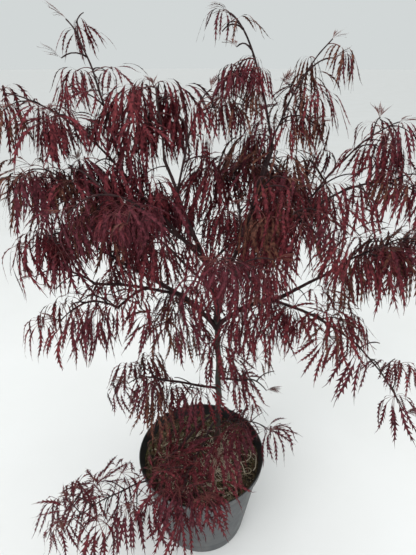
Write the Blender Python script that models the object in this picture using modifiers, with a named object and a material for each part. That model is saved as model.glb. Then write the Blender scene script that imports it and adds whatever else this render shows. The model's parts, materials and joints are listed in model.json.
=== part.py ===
"""A potted laceleaf maple: nursery pot, compost, trunk, boughs and hanging masses of foliage.

Metres, +Z up. The origin is the centre of the pot's flat underside, and the fullest side of the
crown faces -Y. Every limb is one tapering, arching stem that springs from another limb. Every
mass is a leading shoot with side shoots, and carries opposite pairs of deeply cut, hanging leaves.
"""
import math
import random
from dataclasses import dataclass

import bmesh
import bpy
from mathutils import Matrix, Vector
from mathutils.bvhtree import BVHTree

NAME = "potted_laceleaf_maple"
GAP = 0.0003            # between pieces that touch
MERGE = 0.00001
UP = Vector((0, 0, 1))

# Pot: a round moulded nursery pot of about ten litres
POT_HEIGHT = 0.215
POT_FOOT_RADIUS = 0.098
POT_NECK_RADIUS = 0.1285    # outside, just under the rim band
POT_RIM_RADIUS = 0.135
POT_WALL = 0.0026
POT_FLOOR = 0.003
RIM_BAND = 0.016            # height of the rim band
LIP_BEVEL = 0.0012
BAND_TAPER = 0.0015
BAND_STEP = 0.0010
FOOT_CHAMFER = 0.003
POT_SIDES = 32
DRAIN_HOLES = 6
DRAIN_RADIUS = 0.006
DRAIN_CIRCLE = 0.078
DRAIN_SIDES = 10

# Compost
COMPOST_TOP = 0.195
COMPOST_DIP = 0.005         # how far its edge lies under its flat top
COMPOST_FLAT = 0.095        # radius of the flat top

# Trunk foot
TRUNK_FOOT = Vector((0.035, 0.040, COMPOST_TOP + GAP))
FLARE = ((0.0, 0.0122), (0.006, 0.0098), (0.016, 0.0078))   # height above the compost, radius

# Limbs
LIMB_STEP = 0.030           # length of a limb's straight pieces
SHOOT_STEP = 0.060

# Foliage: the shoots of a mass
SHOOT_RADIUS = 0.0022
SHOOT_TIP_RADIUS = 0.0014
SIDES_PER_SPREAD = 1.5      # side shoots for each length of leading shoot as long as the mass's spread
SIDE_START = 0.22           # how far along the leading shoot the first side shoot springs
SIDE_SPAN = 0.68            # the part of the leading shoot that has side shoots
SIDE_REACH = (0.50, 0.72)   # a side shoot's reach, for the mass's spread
SIDE_TAPER = 0.35           # how much shorter they are at the tip
SIDE_ANGLE = 58.0           # degrees between a side shoot and the leading shoot
SIDE_SWING = 14.0           # degrees by which that varies each way
SIDE_LIFT = (0.05, 0.45)    # a side shoot's rise for its reach
SIDE_ARCH = 0.16

# Foliage: the leaves
LEAF_SPACING = 0.060        # between one pair of leaves and the next
LEAF_START = 0.62           # where a pair sits in its share of the shoot
PAIR_STAGGER = 0.04         # the two leaves of a pair part by this much of the spacing to each side
LEAF_ANGLE = 68.0           # degrees between a leaf stalk and its shoot
LEAF_SWING = 22.0
LEAF_SIZES = (0.82, 1.08)
TIP_LEAF_AT = 0.985
TIP_LEAF_SIZES = (0.75, 0.95)
PETIOLE = 0.020
PETIOLE_RADIUS = 0.0008
PETIOLE_LIFT = 0.25         # how far the stalk climbs, for its length
STALK_CORNERS = 3           # in the section of a leaf stalk, and of a shoot
LEAF_LENGTH = 0.102
LEAF_HALF_THICKNESS = 0.0013
LOBES = 5
LOBE_FAN = 96.0             # degrees from the middle lobe to the outermost ones
LOBE_SHRINK = 0.55          # the cosine's factor that shortens the outer lobes
LOBE_SPREAD = 0.30          # how far the middle lobe's tip stands out, for the leaf's length
LOBE_DROP = 0.86            # how far it hangs
NOTCH = 0.12                # where two lobes meet, for the leaf's length
NOTCH_SLOPE = 0.9

# Foliage: the space of each mass
HANG = 0.035                # a mass's middle lies this far under its leading shoot
MIDDLES = (0.1, 0.4, 0.7, 1.0)
INTRUSION = 0.055           # how much nearer to a neighbour's middle than to its own a leaf may hang
CLEARANCE = 0.0020          # kept between a mass and any limb or other mass
POT_CLEARANCE = 0.006
FLOOR_CLEARANCE = 0.03
SEARCH = 0.25               # shoots and leaves with middles farther apart than this can't meet

COLOURS = {                 # base colour, roughness
    "pot": ((0.055, 0.058, 0.062), 0.55),
    "compost": ((0.060, 0.045, 0.025), 0.95),
    "bark": ((0.090, 0.095, 0.075), 0.80),
    "young_bark": ((0.022, 0.014, 0.016), 0.65),
    "foliage": ((0.110, 0.014, 0.022), 0.60),
}


@dataclass(frozen=True)
class Stem:
    """An arching stem, told by where it springs from and where it gets to."""
    parent: str | None      # the limb it springs from
    fork: float             # how far along that limb, 0 at the root and 1 at the tip
    heading: float          # degrees from +X towards +Y
    reach: float            # level distance from root to tip
    rise: float             # height of the tip above the root
    arch: float = 0.0       # extra height at mid length
    bow: float = 0.0        # bend to the left at mid length
    thick: float = 0.0035   # radius at the root
    thin: float = 0.0022    # radius at the tip


LIMBS = {
    "trunk": Stem(None, 0, -117, 0.010, 0.350, 0, 0.004, 0.0066, 0.0052),
    "bough_centre": Stem("trunk", 0.98, -136, 0.060, 0.195, 0, 0.020, 0.0046, 0.0034),
    "bough_leader": Stem("bough_centre", 0.30, 9, 0.085, 0.265, 0, -0.010, 0.0036, 0.0026),
    "bough_left": Stem("trunk", 0.92, -161, 0.100, 0.112, 0.010, 0, 0.0044, 0.0034),
    "bough_left_upper": Stem("bough_left", 0.97, 168, 0.115, 0.060, 0, 0, 0.0031, 0.0022),
    "bough_left_level": Stem("bough_left", 0.70, -164, 0.145, 0.045, 0.006, 0, 0.0028, 0.0022),
    "bough_left_steep": Stem("bough_left_upper", 0.14, -122, 0.045, 0.110, 0, 0, 0.0026, 0.0021),
    "bough_left_low": Stem("bough_left_level", 0.40, -125, 0.070, -0.005, 0.006, 0, 0.0024, 0.0020),
    "bough_right": Stem("trunk", 0.94, -16, 0.115, 0.080, 0.012, 0, 0.0042, 0.0033),
    "bough_right_outer": Stem("bough_right", 0.97, -11, 0.075, 0.055, 0, 0, 0.0030, 0.0023),
    "bough_right_trail": Stem("bough_right", 0.84, -28, 0.120, -0.025, 0.006, 0, 0.0027, 0.0021),
    "bough_right_upper": Stem("bough_leader", 0.35, -10, 0.130, 0.095, 0, 0, 0.0030, 0.0022),
    "bough_top": Stem("bough_centre", 0.97, 150, 0.050, 0.115, 0, 0, 0.0031, 0.0023),
    "bough_front_left": Stem("bough_centre", 0.82, -134, 0.095, 0.080, 0, 0, 0.0029, 0.0022),
    "bough_tall_left": Stem("bough_centre", 0.70, 167, 0.135, 0.140, 0, 0, 0.0031, 0.0023),
    "bough_front": Stem("bough_leader", 0.20, -85, 0.090, 0.045, 0.008, 0, 0.0028, 0.0021),
    "bough_back": Stem("trunk", 0.76, 97, 0.120, 0.160, 0, 0, 0.0038, 0.0029),
    "bough_back_left": Stem("bough_back", 0.60, 152, 0.140, 0.100, 0, 0, 0.0028, 0.0022),
    "bough_back_right": Stem("bough_back", 0.90, 24, 0.120, 0.095, 0, 0, 0.0027, 0.0022),
    "twig_low_left": Stem("trunk", 0.48, -163, 0.120, 0.055, 0, 0, 0.0026, 0.0020),
    "twig_low_right": Stem("trunk", 0.56, -40, 0.065, 0.030, 0, 0, 0.0024, 0.0020),
    "twig_pot_front": Stem("trunk", 0.22, -112, 0.140, 0.010, 0.012, 0, 0.0026, 0.0020),
    "twig_pot_left": Stem("trunk", 0.30, -133, 0.190, -0.045, 0.014, 0, 0.0027, 0.0021),
}

# Each mass is told by its leading shoot, and by how far its foliage spreads around that
MASSES = {
    "foliage_leader": (Stem("bough_leader", 0.98, 178, 0.070, 0.172, 0.038), 0.085),
    "foliage_top_right": (Stem("bough_leader", 0.60, 25, 0.122, 0.245, 0.022, 0.018), 0.095),
    "foliage_tall_left": (Stem("bough_tall_left", 0.98, 160, 0.068, 0.212, 0.038), 0.090),
    "foliage_far_left": (Stem("bough_tall_left", 0.78, 186, 0.175, 0.150, 0.030), 0.095),
    "foliage_top": (Stem("bough_top", 0.98, 110, 0.045, 0.100, 0.024), 0.105),
    "foliage_top_middle": (Stem("bough_top", 0.55, 42, 0.070, 0.145, 0.030), 0.085),
    "foliage_front_left": (Stem("bough_front_left", 0.98, -150, 0.115, 0.030, 0.030), 0.095),
    "foliage_left_upper": (Stem("bough_left_upper", 0.98, 178, 0.120, 0.000, 0.030), 0.090),
    "foliage_left_back": (Stem("bough_left_upper", 0.55, 125, 0.120, 0.050, 0.030), 0.090),
    "foliage_left_level": (Stem("bough_left_level", 0.98, 172, 0.105, 0.005, 0.020), 0.085),
    "foliage_left_low": (Stem("bough_left_low", 0.98, -165, 0.090, -0.010, 0.022), 0.085),
    "foliage_left_steep": (Stem("bough_left_steep", 0.98, 168, 0.160, 0.070, 0.030), 0.095),
    "foliage_front": (Stem("bough_front", 0.98, -80, 0.095, 0.020, 0.030), 0.095),
    "foliage_centre": (Stem("bough_leader", 0.52, -62, 0.090, 0.100, 0.030), 0.090),
    "foliage_right_upper": (Stem("bough_right_upper", 0.98, -5, 0.145, 0.015, 0.025), 0.090),
    "foliage_right_high": (Stem("bough_right_upper", 0.72, 14, 0.150, 0.135, 0.025), 0.095),
    "foliage_right_front": (Stem("bough_right_upper", 0.45, -58, 0.110, 0.010, 0.030), 0.090),
    "foliage_right_outer": (Stem("bough_right_outer", 0.98, -1, 0.160, 0.060, 0.020), 0.090),
    "foliage_right_trail": (Stem("bough_right_trail", 0.98, -20, 0.138, -0.145, 0.020), 0.078),
    "foliage_right_hang": (Stem("bough_right_trail", 0.62, -62, 0.050, -0.015, 0.015), 0.080),
    "foliage_centre_low": (Stem("bough_right", 0.36, -55, 0.060, -0.005, 0.020), 0.070),
    "foliage_left_inner": (Stem("bough_left", 0.50, -128, 0.050, -0.010, 0.012), 0.075),
    "foliage_low_left": (Stem("twig_low_left", 0.98, 190, 0.065, 0.000, 0.012), 0.075),
    "foliage_low_middle": (Stem("twig_low_left", 0.45, -110, 0.045, 0.000, 0.012), 0.065),
    "foliage_low_right": (Stem("twig_low_right", 0.98, -20, 0.045, -0.010, 0.012), 0.070),
    "foliage_pot_right": (Stem("trunk", 0.17, -16, 0.115, 0.015, 0.022), 0.085),
    "foliage_pot_front": (Stem("twig_pot_front", 0.98, -108, 0.075, -0.012, 0.016), 0.100),
    "foliage_pot_trail": (Stem("twig_pot_left", 0.98, -146, 0.165, 0.010, 0.012), 0.085),
    "foliage_back_top": (Stem("bough_leader", 0.46, 98, 0.120, 0.085, 0.030), 0.095),
    "foliage_back": (Stem("bough_back", 0.98, 92, 0.130, 0.045, 0.030), 0.095),
    "foliage_back_left": (Stem("bough_back_left", 0.98, 142, 0.125, 0.020, 0.030), 0.095),
    "foliage_back_left_low": (Stem("bough_back_left", 0.62, 105, 0.120, -0.060, 0.040), 0.090),
    "foliage_back_right": (Stem("bough_back_right", 0.98, 30, 0.125, 0.020, 0.030), 0.095),
    "foliage_back_right_low": (Stem("bough_back_right", 0.50, 62, 0.120, -0.060, 0.040), 0.090),
}


# ---------------------------------------------------------------- lines of the stems

def heading_vector(degrees):
    turn = math.radians(degrees)
    return Vector((math.cos(turn), math.sin(turn), 0))


def stem_point(stem, root, t):
    """The point a fraction t of the way along a stem that starts at root."""
    ahead = heading_vector(stem.heading)
    left = heading_vector(stem.heading + 90)
    swell = 4 * t * (1 - t)
    return root + ahead * stem.reach * t + left * stem.bow * swell + UP * (stem.rise * t + stem.arch * swell)


def stem_line(stem, root, step):
    """Points along a stem and the stem's radius at each."""
    length = math.hypot(stem.reach, stem.rise, stem.arch)
    pieces = max(2, round(length / step))
    fractions = [i / pieces for i in range(pieces + 1)]
    return [(stem_point(stem, root, t), stem.thick + (stem.thin - stem.thick) * t) for t in fractions]


def point_on(line, t):
    """The point a fraction t of the way along a line of (point, radius), on its straight pieces."""
    place = t * (len(line) - 1)
    i = min(int(place), len(line) - 2)
    return line[i][0].lerp(line[i + 1][0], place - i)


def root_of(stem):
    """Where a stem starts: on the axis of its parent, or at the trunk's foot."""
    if stem.parent is None:
        return TRUNK_FOOT
    return point_on(limb_line(stem.parent, flared=False), stem.fork)


def limb_line(name, flared=True):
    line = stem_line(LIMBS[name], root_of(LIMBS[name]), LIMB_STEP)
    if name != "trunk" or not flared:
        return line
    flare = [(TRUNK_FOOT + UP * height, radius) for height, radius in FLARE]
    return flare + [(point, radius) for point, radius in line if point.z > flare[-1][0].z + LIMB_STEP / 2]


def shoot_line(shoot, root):
    return stem_line(shoot, root, SHOOT_STEP)


# ---------------------------------------------------------------- foliage rule

@dataclass(frozen=True)
class Leaf:
    joint: Vector           # on the shoot, where the stalk starts
    heading: float
    size: float


def side_shoots(leading, root, spread, chance):
    """Side shoots by turns left and right of the leading shoot, shorter towards its tip."""
    line = shoot_line(leading, root)
    count = max(2, round(SIDES_PER_SPREAD * math.hypot(leading.reach, leading.rise) / spread))
    side = chance.choice((-1, 1))
    for i in range(count):
        t = SIDE_START + SIDE_SPAN * i / count
        reach = spread * chance.uniform(*SIDE_REACH) * (1 - SIDE_TAPER * t)
        heading = leading.heading + side * (SIDE_ANGLE + chance.uniform(-SIDE_SWING, SIDE_SWING))
        rise = reach * chance.uniform(*SIDE_LIFT)
        yield Stem(None, 0, heading, reach, rise, SIDE_ARCH * reach), point_on(line, t)
        side = -side


def leaves_on(shoot, root, chance):
    """Opposite pairs of leaves along a shoot, and one leaf at its tip."""
    line = shoot_line(shoot, root)
    pairs = max(1, round(math.hypot(shoot.reach, shoot.rise) / LEAF_SPACING))
    for i in range(pairs):
        for side in (-1, 1):
            joint = point_on(line, (i + LEAF_START + side * PAIR_STAGGER) / pairs)
            heading = shoot.heading + side * (LEAF_ANGLE + chance.uniform(-LEAF_SWING, LEAF_SWING))
            yield Leaf(joint, heading, chance.uniform(*LEAF_SIZES))
    heading = shoot.heading + chance.uniform(-LEAF_SWING, LEAF_SWING)
    yield Leaf(point_on(line, TIP_LEAF_AT), heading, chance.uniform(*TIP_LEAF_SIZES))


def leaf_outline():
    """The notches and lobe tips in order around the leaf, with the hub at the origin and +X ahead."""
    points = []
    for i in range(-1, 2 * LOBES):
        turn = LOBE_FAN * (1 - i / (LOBES - 1))
        fullness = math.cos(math.radians(turn) * LOBE_SHRINK)
        if i % 2:
            points.append((heading_vector(turn) - UP * NOTCH_SLOPE) * LEAF_LENGTH * NOTCH * fullness)
        else:
            points.append(heading_vector(turn) * LEAF_LENGTH * LOBE_SPREAD * (0.55 + 0.45 * fullness)
                          - UP * LEAF_LENGTH * LOBE_DROP * fullness)
    return points


def leaf_mesh(name, swell=0.0):
    """One closed, thin leaf: a fan of lobes over the hub, and a three-sided stalk from the shoot."""
    bm = bmesh.new()
    stalk_end = Vector((-PETIOLE, 0, -PETIOLE_LIFT * PETIOLE))
    left, right, under = (bm.verts.new(stalk_end + Vector(shift) * (PETIOLE_RADIUS + swell))
                          for shift in ((0, 1, 0.6), (0, -1, 0.6), (0, 0, -1)))
    ring = [left] + [bm.verts.new(point) for point in leaf_outline()] + [right]
    half = LEAF_HALF_THICKNESS + swell
    top, bottom = (bm.verts.new(UP * rise) for rise in (half, -half))
    for first, second in zip(ring, ring[1:]):
        bm.faces.new((top, second, first))
        bm.faces.new((bottom, first, second))
    bm.faces.new((top, left, right))
    bm.faces.new((bottom, under, left))
    bm.faces.new((bottom, right, under))
    bm.faces.new((left, under, right))
    bmesh.ops.recalc_face_normals(bm, faces=bm.faces)
    mesh = bpy.data.meshes.new(name)
    bm.to_mesh(mesh)
    bm.free()
    return mesh


def leaf_placement(leaf):
    hub = Vector((PETIOLE, 0, PETIOLE_LIFT * PETIOLE)) * leaf.size
    turn = Matrix.Rotation(math.radians(leaf.heading), 4, "Z")
    return Matrix.Translation(leaf.joint) @ turn @ Matrix.Translation(hub) @ Matrix.Scale(leaf.size, 4)


def tree_of(mesh, placement=Matrix(), without_stalk=False):
    """A mesh's skin as a tree for finding overlaps; a leaf's stalk has its first three vertices."""
    points = [placement @ vert.co for vert in mesh.vertices]
    faces = [tuple(face.vertices) for face in mesh.polygons]
    if without_stalk:
        faces = [face for face in faces if min(face) >= STALK_CORNERS]
    return BVHTree.FromPolygons(points, faces)


@dataclass(frozen=True)
class Taken:
    """A shoot or leaf in place: its mass, its middle, its own skin, and its skin kept clear by others."""
    mass: str
    middle: Vector
    skin: BVHTree
    wide: BVHTree


class Crown:
    """What already stands in the crown, and which mass each part of its space belongs to."""

    def __init__(self, section):
        self.section = section
        self.limbs = [tree_of(tube_mesh(name, limb_line(name), None, CLEARANCE)) for name in LIMBS]
        self.taken = []
        self.middles = [(name, stem_point(leading, root_of(leading), t) - UP * HANG)
                        for name, (leading, _) in MASSES.items() for t in MIDDLES]

    def in_space(self, mass, points):
        """Whether the points lie near the mass, not far into another's space, and over pot and ground."""
        for point in points:
            own = min((point - middle).length for name, middle in self.middles if name == mass)
            other = min((point - middle).length for name, middle in self.middles if name != mass)
            level = math.hypot(point.x, point.y)
            in_pot = point.z < POT_HEIGHT + POT_CLEARANCE and level < POT_RIM_RADIUS + POT_CLEARANCE
            if own > MASSES[mass][1] or own > other + INTRUSION or in_pot or point.z < FLOOR_CLEARANCE:
                return False
        return True

    def is_free(self, new, leaf_only):
        """Whether a shoot or leaf clears the limbs and other masses, and a leaf all of its own mass too."""
        if any(new.wide.overlap(limb) for limb in self.limbs):
            return False
        for other in self.taken:
            if (other.middle - new.middle).length > SEARCH:
                continue
            if other.mass != new.mass and new.wide.overlap(other.wide):
                return False
            if other.mass == new.mass and leaf_only and new.skin.overlap(other.skin):
                return False
        return True

    def add_shoot(self, mass, shoot, root, must=False):
        line = shoot_line(shoot, root)
        trees = [tree_of(tube_mesh(mass, line, self.section, swell)) for swell in (0, CLEARANCE)]
        new = Taken(mass, point_on(line, 0.5), *trees)
        if must or (self.in_space(mass, [point for point, _ in line]) and self.is_free(new, False)):
            self.taken.append(new)
            return True
        return False

    def add_leaf(self, mass, leaf, outline, form, wide_form):
        placement = leaf_placement(leaf)
        skin, wide = tree_of(form, placement, without_stalk=True), tree_of(wide_form, placement)
        new = Taken(mass, placement.translation, skin, wide)
        points = [placement @ point for point in outline] + [new.middle]
        if self.in_space(mass, points) and self.is_free(new, True):
            self.taken.append(new)
            return True
        return False


def slim(shoot):
    """A side shoot or leading shoot at the thickness of a young twig."""
    return Stem(shoot.parent, shoot.fork, shoot.heading, shoot.reach, shoot.rise, shoot.arch, shoot.bow,
                SHOOT_RADIUS, SHOOT_TIP_RADIUS)


def plan_foliage(section):
    """The shoots and leaves of every mass that keep to its space and are clear of all else."""
    crown = Crown(section)
    outline = leaf_outline()
    forms = leaf_mesh("leaf_form"), leaf_mesh("wide_leaf_form", CLEARANCE)
    shoots = {name: [(slim(leading), root_of(leading))] for name, (leading, _) in MASSES.items()}
    for name, ((leading, root),) in shoots.items():
        crown.add_shoot(name, leading, root, must=True)
    waiting = []
    for name, (leading, spread) in MASSES.items():
        chance = random.Random(name)
        for shoot, joint in side_shoots(leading, root_of(leading), spread, chance):
            if crown.add_shoot(name, slim(shoot), joint):
                shoots[name].append((slim(shoot), joint))
        for shoot, joint in shoots[name]:
            waiting += [(i, name, leaf) for i, leaf in enumerate(leaves_on(shoot, joint, chance))]
    leaves = {name: [] for name in MASSES}
    for _, name, leaf in sorted(waiting, key=lambda entry: entry[0]):
        if crown.add_leaf(name, leaf, outline, *forms):
            leaves[name].append(leaf)
    return shoots, leaves


# ---------------------------------------------------------------- making objects

def material(kind):
    found = bpy.data.materials.get(kind)
    if found:
        return found
    colour, roughness = COLOURS[kind]
    made = bpy.data.materials.new(kind)
    made.use_nodes = True
    shader = made.node_tree.nodes["Principled BSDF"]
    shader.inputs["Base Color"].default_value = (*colour, 1)
    shader.inputs["Roughness"].default_value = roughness
    made.diffuse_color = (*colour, 1)
    return made


def add_object(name, mesh, collection, kind=None):
    made = bpy.data.objects.new(name, mesh)
    collection.objects.link(made)
    if kind:
        made.data.materials.clear()
        made.data.materials.append(material(kind))
    return made


def baked(source):
    """The evaluated shape of an object as a mesh of its own."""
    bpy.context.view_layer.update()
    evaluated = source.evaluated_get(bpy.context.evaluated_depsgraph_get())
    return bpy.data.meshes.new_from_object(evaluated)


def weld_caps(mesh):
    bm = bmesh.new()
    bm.from_mesh(mesh)
    bmesh.ops.remove_doubles(bm, verts=bm.verts, dist=MERGE)
    bmesh.ops.recalc_face_normals(bm, faces=bm.faces)
    bm.to_mesh(mesh)
    bm.free()


def tube_mesh(name, line, section=None, swell=0.0, resolution=1):
    """A tapering stem along a line of (point, radius): round, or with the given section."""
    curve = bpy.data.curves.new(name, "CURVE")
    curve.dimensions = "3D"
    curve.use_fill_caps = True
    curve.bevel_depth = 1.0
    curve.bevel_resolution = resolution
    if section:
        curve.bevel_mode = "OBJECT"
        curve.bevel_object = section
    spline = curve.splines.new("POLY")
    spline.points.add(len(line) - 1)
    for point, (place, radius) in zip(spline.points, line):
        point.co = (*place, 1)
        point.radius = radius + swell
    source = add_object(name, curve, bpy.context.scene.collection)
    mesh = baked(source)
    weld_caps(mesh)
    bpy.data.objects.remove(source)
    bpy.data.curves.remove(curve)
    return mesh


def turned(name, profile, collection, kind=None):
    """A turned shape from a profile of (radius, height), run down its outer side."""
    mesh = bpy.data.meshes.new(name)
    points = [(radius, 0, height) for radius, height in profile]
    mesh.from_pydata(points, [(i, i + 1) for i in range(len(points) - 1)], [])
    made = add_object(name, mesh, collection, kind)
    screw = made.modifiers.new("turn", "SCREW")
    screw.axis = "Z"
    screw.steps = POT_SIDES
    screw.render_steps = POT_SIDES
    screw.use_merge_vertices = True
    screw.merge_threshold = 0.0001
    return made


def boolean(target, operation, cutter=None, group=None, solver="EXACT"):
    """A cut by one object, or a union with a whole collection."""
    modifier = target.modifiers.new(operation.lower(), "BOOLEAN")
    modifier.operation = operation
    modifier.solver = solver
    if group:
        modifier.operand_type = "COLLECTION"
        modifier.collection = group
    else:
        modifier.object = cutter


def apply_boolean(target, operation, cutter=None, group=None, solver="EXACT"):
    """Apply a cut or union, and drop any loose scrap or sealed hollow that it leaves."""
    boolean(target, operation, cutter, group, solver)
    mesh = baked(target)
    keep_largest_body(mesh)
    target.modifiers.clear()
    target.data = mesh


def make_cutter(made):
    made.hide_render = True
    made.display_type = "WIRE"
    return made


def make_pot(parts, cutters):
    """The pot: a tapering wall, a thicker band at the rim, a flat floor and its drain holes."""
    band_foot = POT_HEIGHT - RIM_BAND
    outside = [(0, POT_HEIGHT), (POT_RIM_RADIUS - LIP_BEVEL, POT_HEIGHT),
               (POT_RIM_RADIUS, POT_HEIGHT - LIP_BEVEL),
               (POT_RIM_RADIUS - BAND_TAPER, band_foot), (POT_NECK_RADIUS, band_foot - BAND_STEP),
               (POT_FOOT_RADIUS, FOOT_CHAMFER), (POT_FOOT_RADIUS - FOOT_CHAMFER, 0), (0, 0)]
    pot = turned("pot", outside, parts, "pot")
    hollow = make_cutter(turned("pot_hollow", inner_profile(0.0, POT_HEIGHT + RIM_BAND), cutters))
    boolean(pot, "DIFFERENCE", hollow)
    for i in range(DRAIN_HOLES):
        place = heading_vector(360 * i / DRAIN_HOLES) * DRAIN_CIRCLE
        bm = bmesh.new()
        bmesh.ops.create_cone(bm, cap_ends=True, segments=DRAIN_SIDES, radius1=DRAIN_RADIUS,
                              radius2=DRAIN_RADIUS, depth=4 * POT_FLOOR,
                              matrix=Matrix.Translation(place))
        mesh = bpy.data.meshes.new(f"drain_hole_{i + 1}")
        bm.to_mesh(mesh)
        bm.free()
        boolean(pot, "DIFFERENCE", make_cutter(add_object(mesh.name, mesh, cutters)))


def inner_radius(height):
    """The radius of the pot's inner wall at a height."""
    taper = (POT_NECK_RADIUS - POT_FOOT_RADIUS) / (POT_HEIGHT - RIM_BAND)
    return POT_FOOT_RADIUS - POT_WALL + taper * height


def inner_profile(clearance, top):
    """The pot's hollow up to a height, kept a clearance away from the pot."""
    floor = POT_FLOOR + clearance
    return [(0, top), (inner_radius(top) - clearance, top),
            (inner_radius(floor) - clearance, floor), (0, floor)]


def make_compost(parts):
    edge = COMPOST_TOP - COMPOST_DIP
    profile = [(0, COMPOST_TOP), (COMPOST_FLAT, COMPOST_TOP)] + inner_profile(GAP, edge)[1:]
    return turned("compost", profile, parts, "compost")


def make_limbs(parts, cutters):
    """The trunk and boughs, each seated on the limb it springs from, and the seats themselves."""
    springs_from = {stem.parent for stem in LIMBS.values()}
    springs_from |= {leading.parent for leading, _ in MASSES.values()}
    seats = {}
    for name in LIMBS:
        if name in springs_from:
            line = limb_line(name)
            (before, _), (tip, thin) = line[-2:]
            line[-1] = (tip + (tip - before).normalized() * GAP, thin)
            seats[name] = make_cutter(add_object(name + "_seat", tube_mesh(name, line, None, GAP), cutters))
    for name, stem in LIMBS.items():
        limb = add_object(name, tube_mesh(name, limb_line(name)), parts,
                          "bark" if name == "trunk" else "young_bark")
        if stem.parent:
            apply_boolean(limb, "DIFFERENCE", seats[stem.parent])
    return seats


def three_sided_section(cutters):
    """A triangle of unit radius, the section of the thin shoots."""
    curve = bpy.data.curves.new("shoot_section", "CURVE")
    spline = curve.splines.new("POLY")
    spline.points.add(STALK_CORNERS - 1)
    for i, point in enumerate(spline.points):
        point.co = (*heading_vector(360 * i / STALK_CORNERS), 1)
    spline.use_cyclic_u = True
    return make_cutter(add_object("shoot_section", curve, cutters))


def keep_largest_body(mesh):
    """Drop loose scraps, and the inner skins of any hollow that the union sealed."""
    bm = bmesh.new()
    bm.from_mesh(mesh)
    bmesh.ops.triangulate(bm, faces=bm.faces)
    waiting = set(bm.verts)
    bodies = []
    while waiting:
        body, edge = set(), [waiting.pop()]
        while edge:
            vert = edge.pop()
            body.add(vert)
            for link in vert.link_edges:
                other = link.other_vert(vert)
                if other in waiting:
                    waiting.discard(other)
                    edge.append(other)
        bodies.append(body)
    largest = max(bodies, key=len)
    spare = [vert for body in bodies if body is not largest for vert in body]
    bmesh.ops.delete(bm, geom=spare, context="VERTS")
    bm.to_mesh(mesh)
    bm.free()


def make_mass(name, shoots, leaves, leaf, section, seats, parts):
    """One mass: its leading shoot, joined by one union with its side shoots and leaves."""
    group = bpy.data.collections.new(name + "_twigs")
    bpy.context.scene.collection.children.link(group)
    meshes = [tube_mesh(name, shoot_line(shoot, root), section) for shoot, root in shoots]
    for mesh in meshes[1:]:
        add_object(name + "_shoot", mesh, group)
    for placed in leaves:
        add_object(name + "_leaf", leaf, group).matrix_world = leaf_placement(placed)
    mass = add_object(name, meshes[0], parts, "foliage")
    apply_boolean(mass, "UNION", group=group, solver="MANIFOLD")
    for made in list(group.objects):
        bpy.data.objects.remove(made)
    bpy.data.collections.remove(group)
    apply_boolean(mass, "DIFFERENCE", seats[MASSES[name][0].parent], solver="MANIFOLD")


def main():
    for old in list(bpy.data.objects):
        bpy.data.objects.remove(old)
    parts = bpy.data.collections.new(NAME)
    cutters = bpy.data.collections.new("cutters")
    bpy.context.scene.collection.children.link(parts)
    bpy.context.scene.collection.children.link(cutters)
    make_pot(parts, cutters)
    make_compost(parts)
    seats = make_limbs(parts, cutters)
    section = three_sided_section(cutters)
    shoots, leaves = plan_foliage(section)
    leaf = leaf_mesh("leaf")
    for name in MASSES:
        make_mass(name, shoots[name], leaves[name], leaf, section, seats, parts)


main()
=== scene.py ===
"""Looks of the potted laceleaf maple: its bark, fine twigs, cut leaves, pot, compost and moss.

The crown grows on from the limbs by the same rule as the solids do: a leading shoot for each mass,
side shoots by turns left and right, and opposite pairs of hanging leaves. Here it goes on to finer
twigs, to stalks, and to leaves with their own toothed lobes. Lengths are in metres, angles in degrees.
"""
import json
import random
from dataclasses import dataclass
from functools import cached_property
from math import atan2, cos, exp, hypot, pi, radians, sin

import bpy
import numpy as np
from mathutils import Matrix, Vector, noise

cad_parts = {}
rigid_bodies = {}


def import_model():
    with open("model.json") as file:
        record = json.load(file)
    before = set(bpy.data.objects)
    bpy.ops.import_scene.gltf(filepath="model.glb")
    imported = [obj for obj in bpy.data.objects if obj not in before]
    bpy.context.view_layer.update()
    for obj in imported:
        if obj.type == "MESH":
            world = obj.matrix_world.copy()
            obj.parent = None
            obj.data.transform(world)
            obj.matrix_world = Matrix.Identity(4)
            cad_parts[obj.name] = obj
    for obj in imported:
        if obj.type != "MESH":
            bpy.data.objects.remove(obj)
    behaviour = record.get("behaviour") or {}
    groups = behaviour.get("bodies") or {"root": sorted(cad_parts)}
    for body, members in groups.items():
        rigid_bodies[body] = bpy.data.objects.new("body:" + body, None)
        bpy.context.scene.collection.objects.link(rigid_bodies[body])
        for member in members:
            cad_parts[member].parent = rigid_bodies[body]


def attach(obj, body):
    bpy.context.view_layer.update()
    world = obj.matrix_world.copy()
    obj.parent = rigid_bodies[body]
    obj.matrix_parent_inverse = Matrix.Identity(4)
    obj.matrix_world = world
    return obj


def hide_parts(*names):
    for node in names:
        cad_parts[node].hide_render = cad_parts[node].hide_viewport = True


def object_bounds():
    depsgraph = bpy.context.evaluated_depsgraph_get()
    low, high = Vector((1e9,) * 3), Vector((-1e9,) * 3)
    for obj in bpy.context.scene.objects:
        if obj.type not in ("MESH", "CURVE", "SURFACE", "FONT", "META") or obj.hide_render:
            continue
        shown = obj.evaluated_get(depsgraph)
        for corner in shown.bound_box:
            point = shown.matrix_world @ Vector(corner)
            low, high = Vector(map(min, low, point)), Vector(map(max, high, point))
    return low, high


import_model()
CAD_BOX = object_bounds()

UP = Vector((0, 0, 1))

# Pot
POT_HEIGHT = 0.215
POT_FOOT_RADIUS = 0.098
POT_NECK_RADIUS = 0.1285
POT_RIM_RADIUS = 0.135
POT_WALL = 0.0026
POT_FLOOR = 0.003
POT_SIDES = 128
RIM_BAND = 0.016
LIP = 0.0013  # radius of the rolled lip
POLE = 0.004  # radius of the small disc at the middle of a turned shell
DRAIN_HOLES = 6
DRAIN_RADIUS = 0.006
DRAIN_CIRCLE = 0.078

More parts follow.
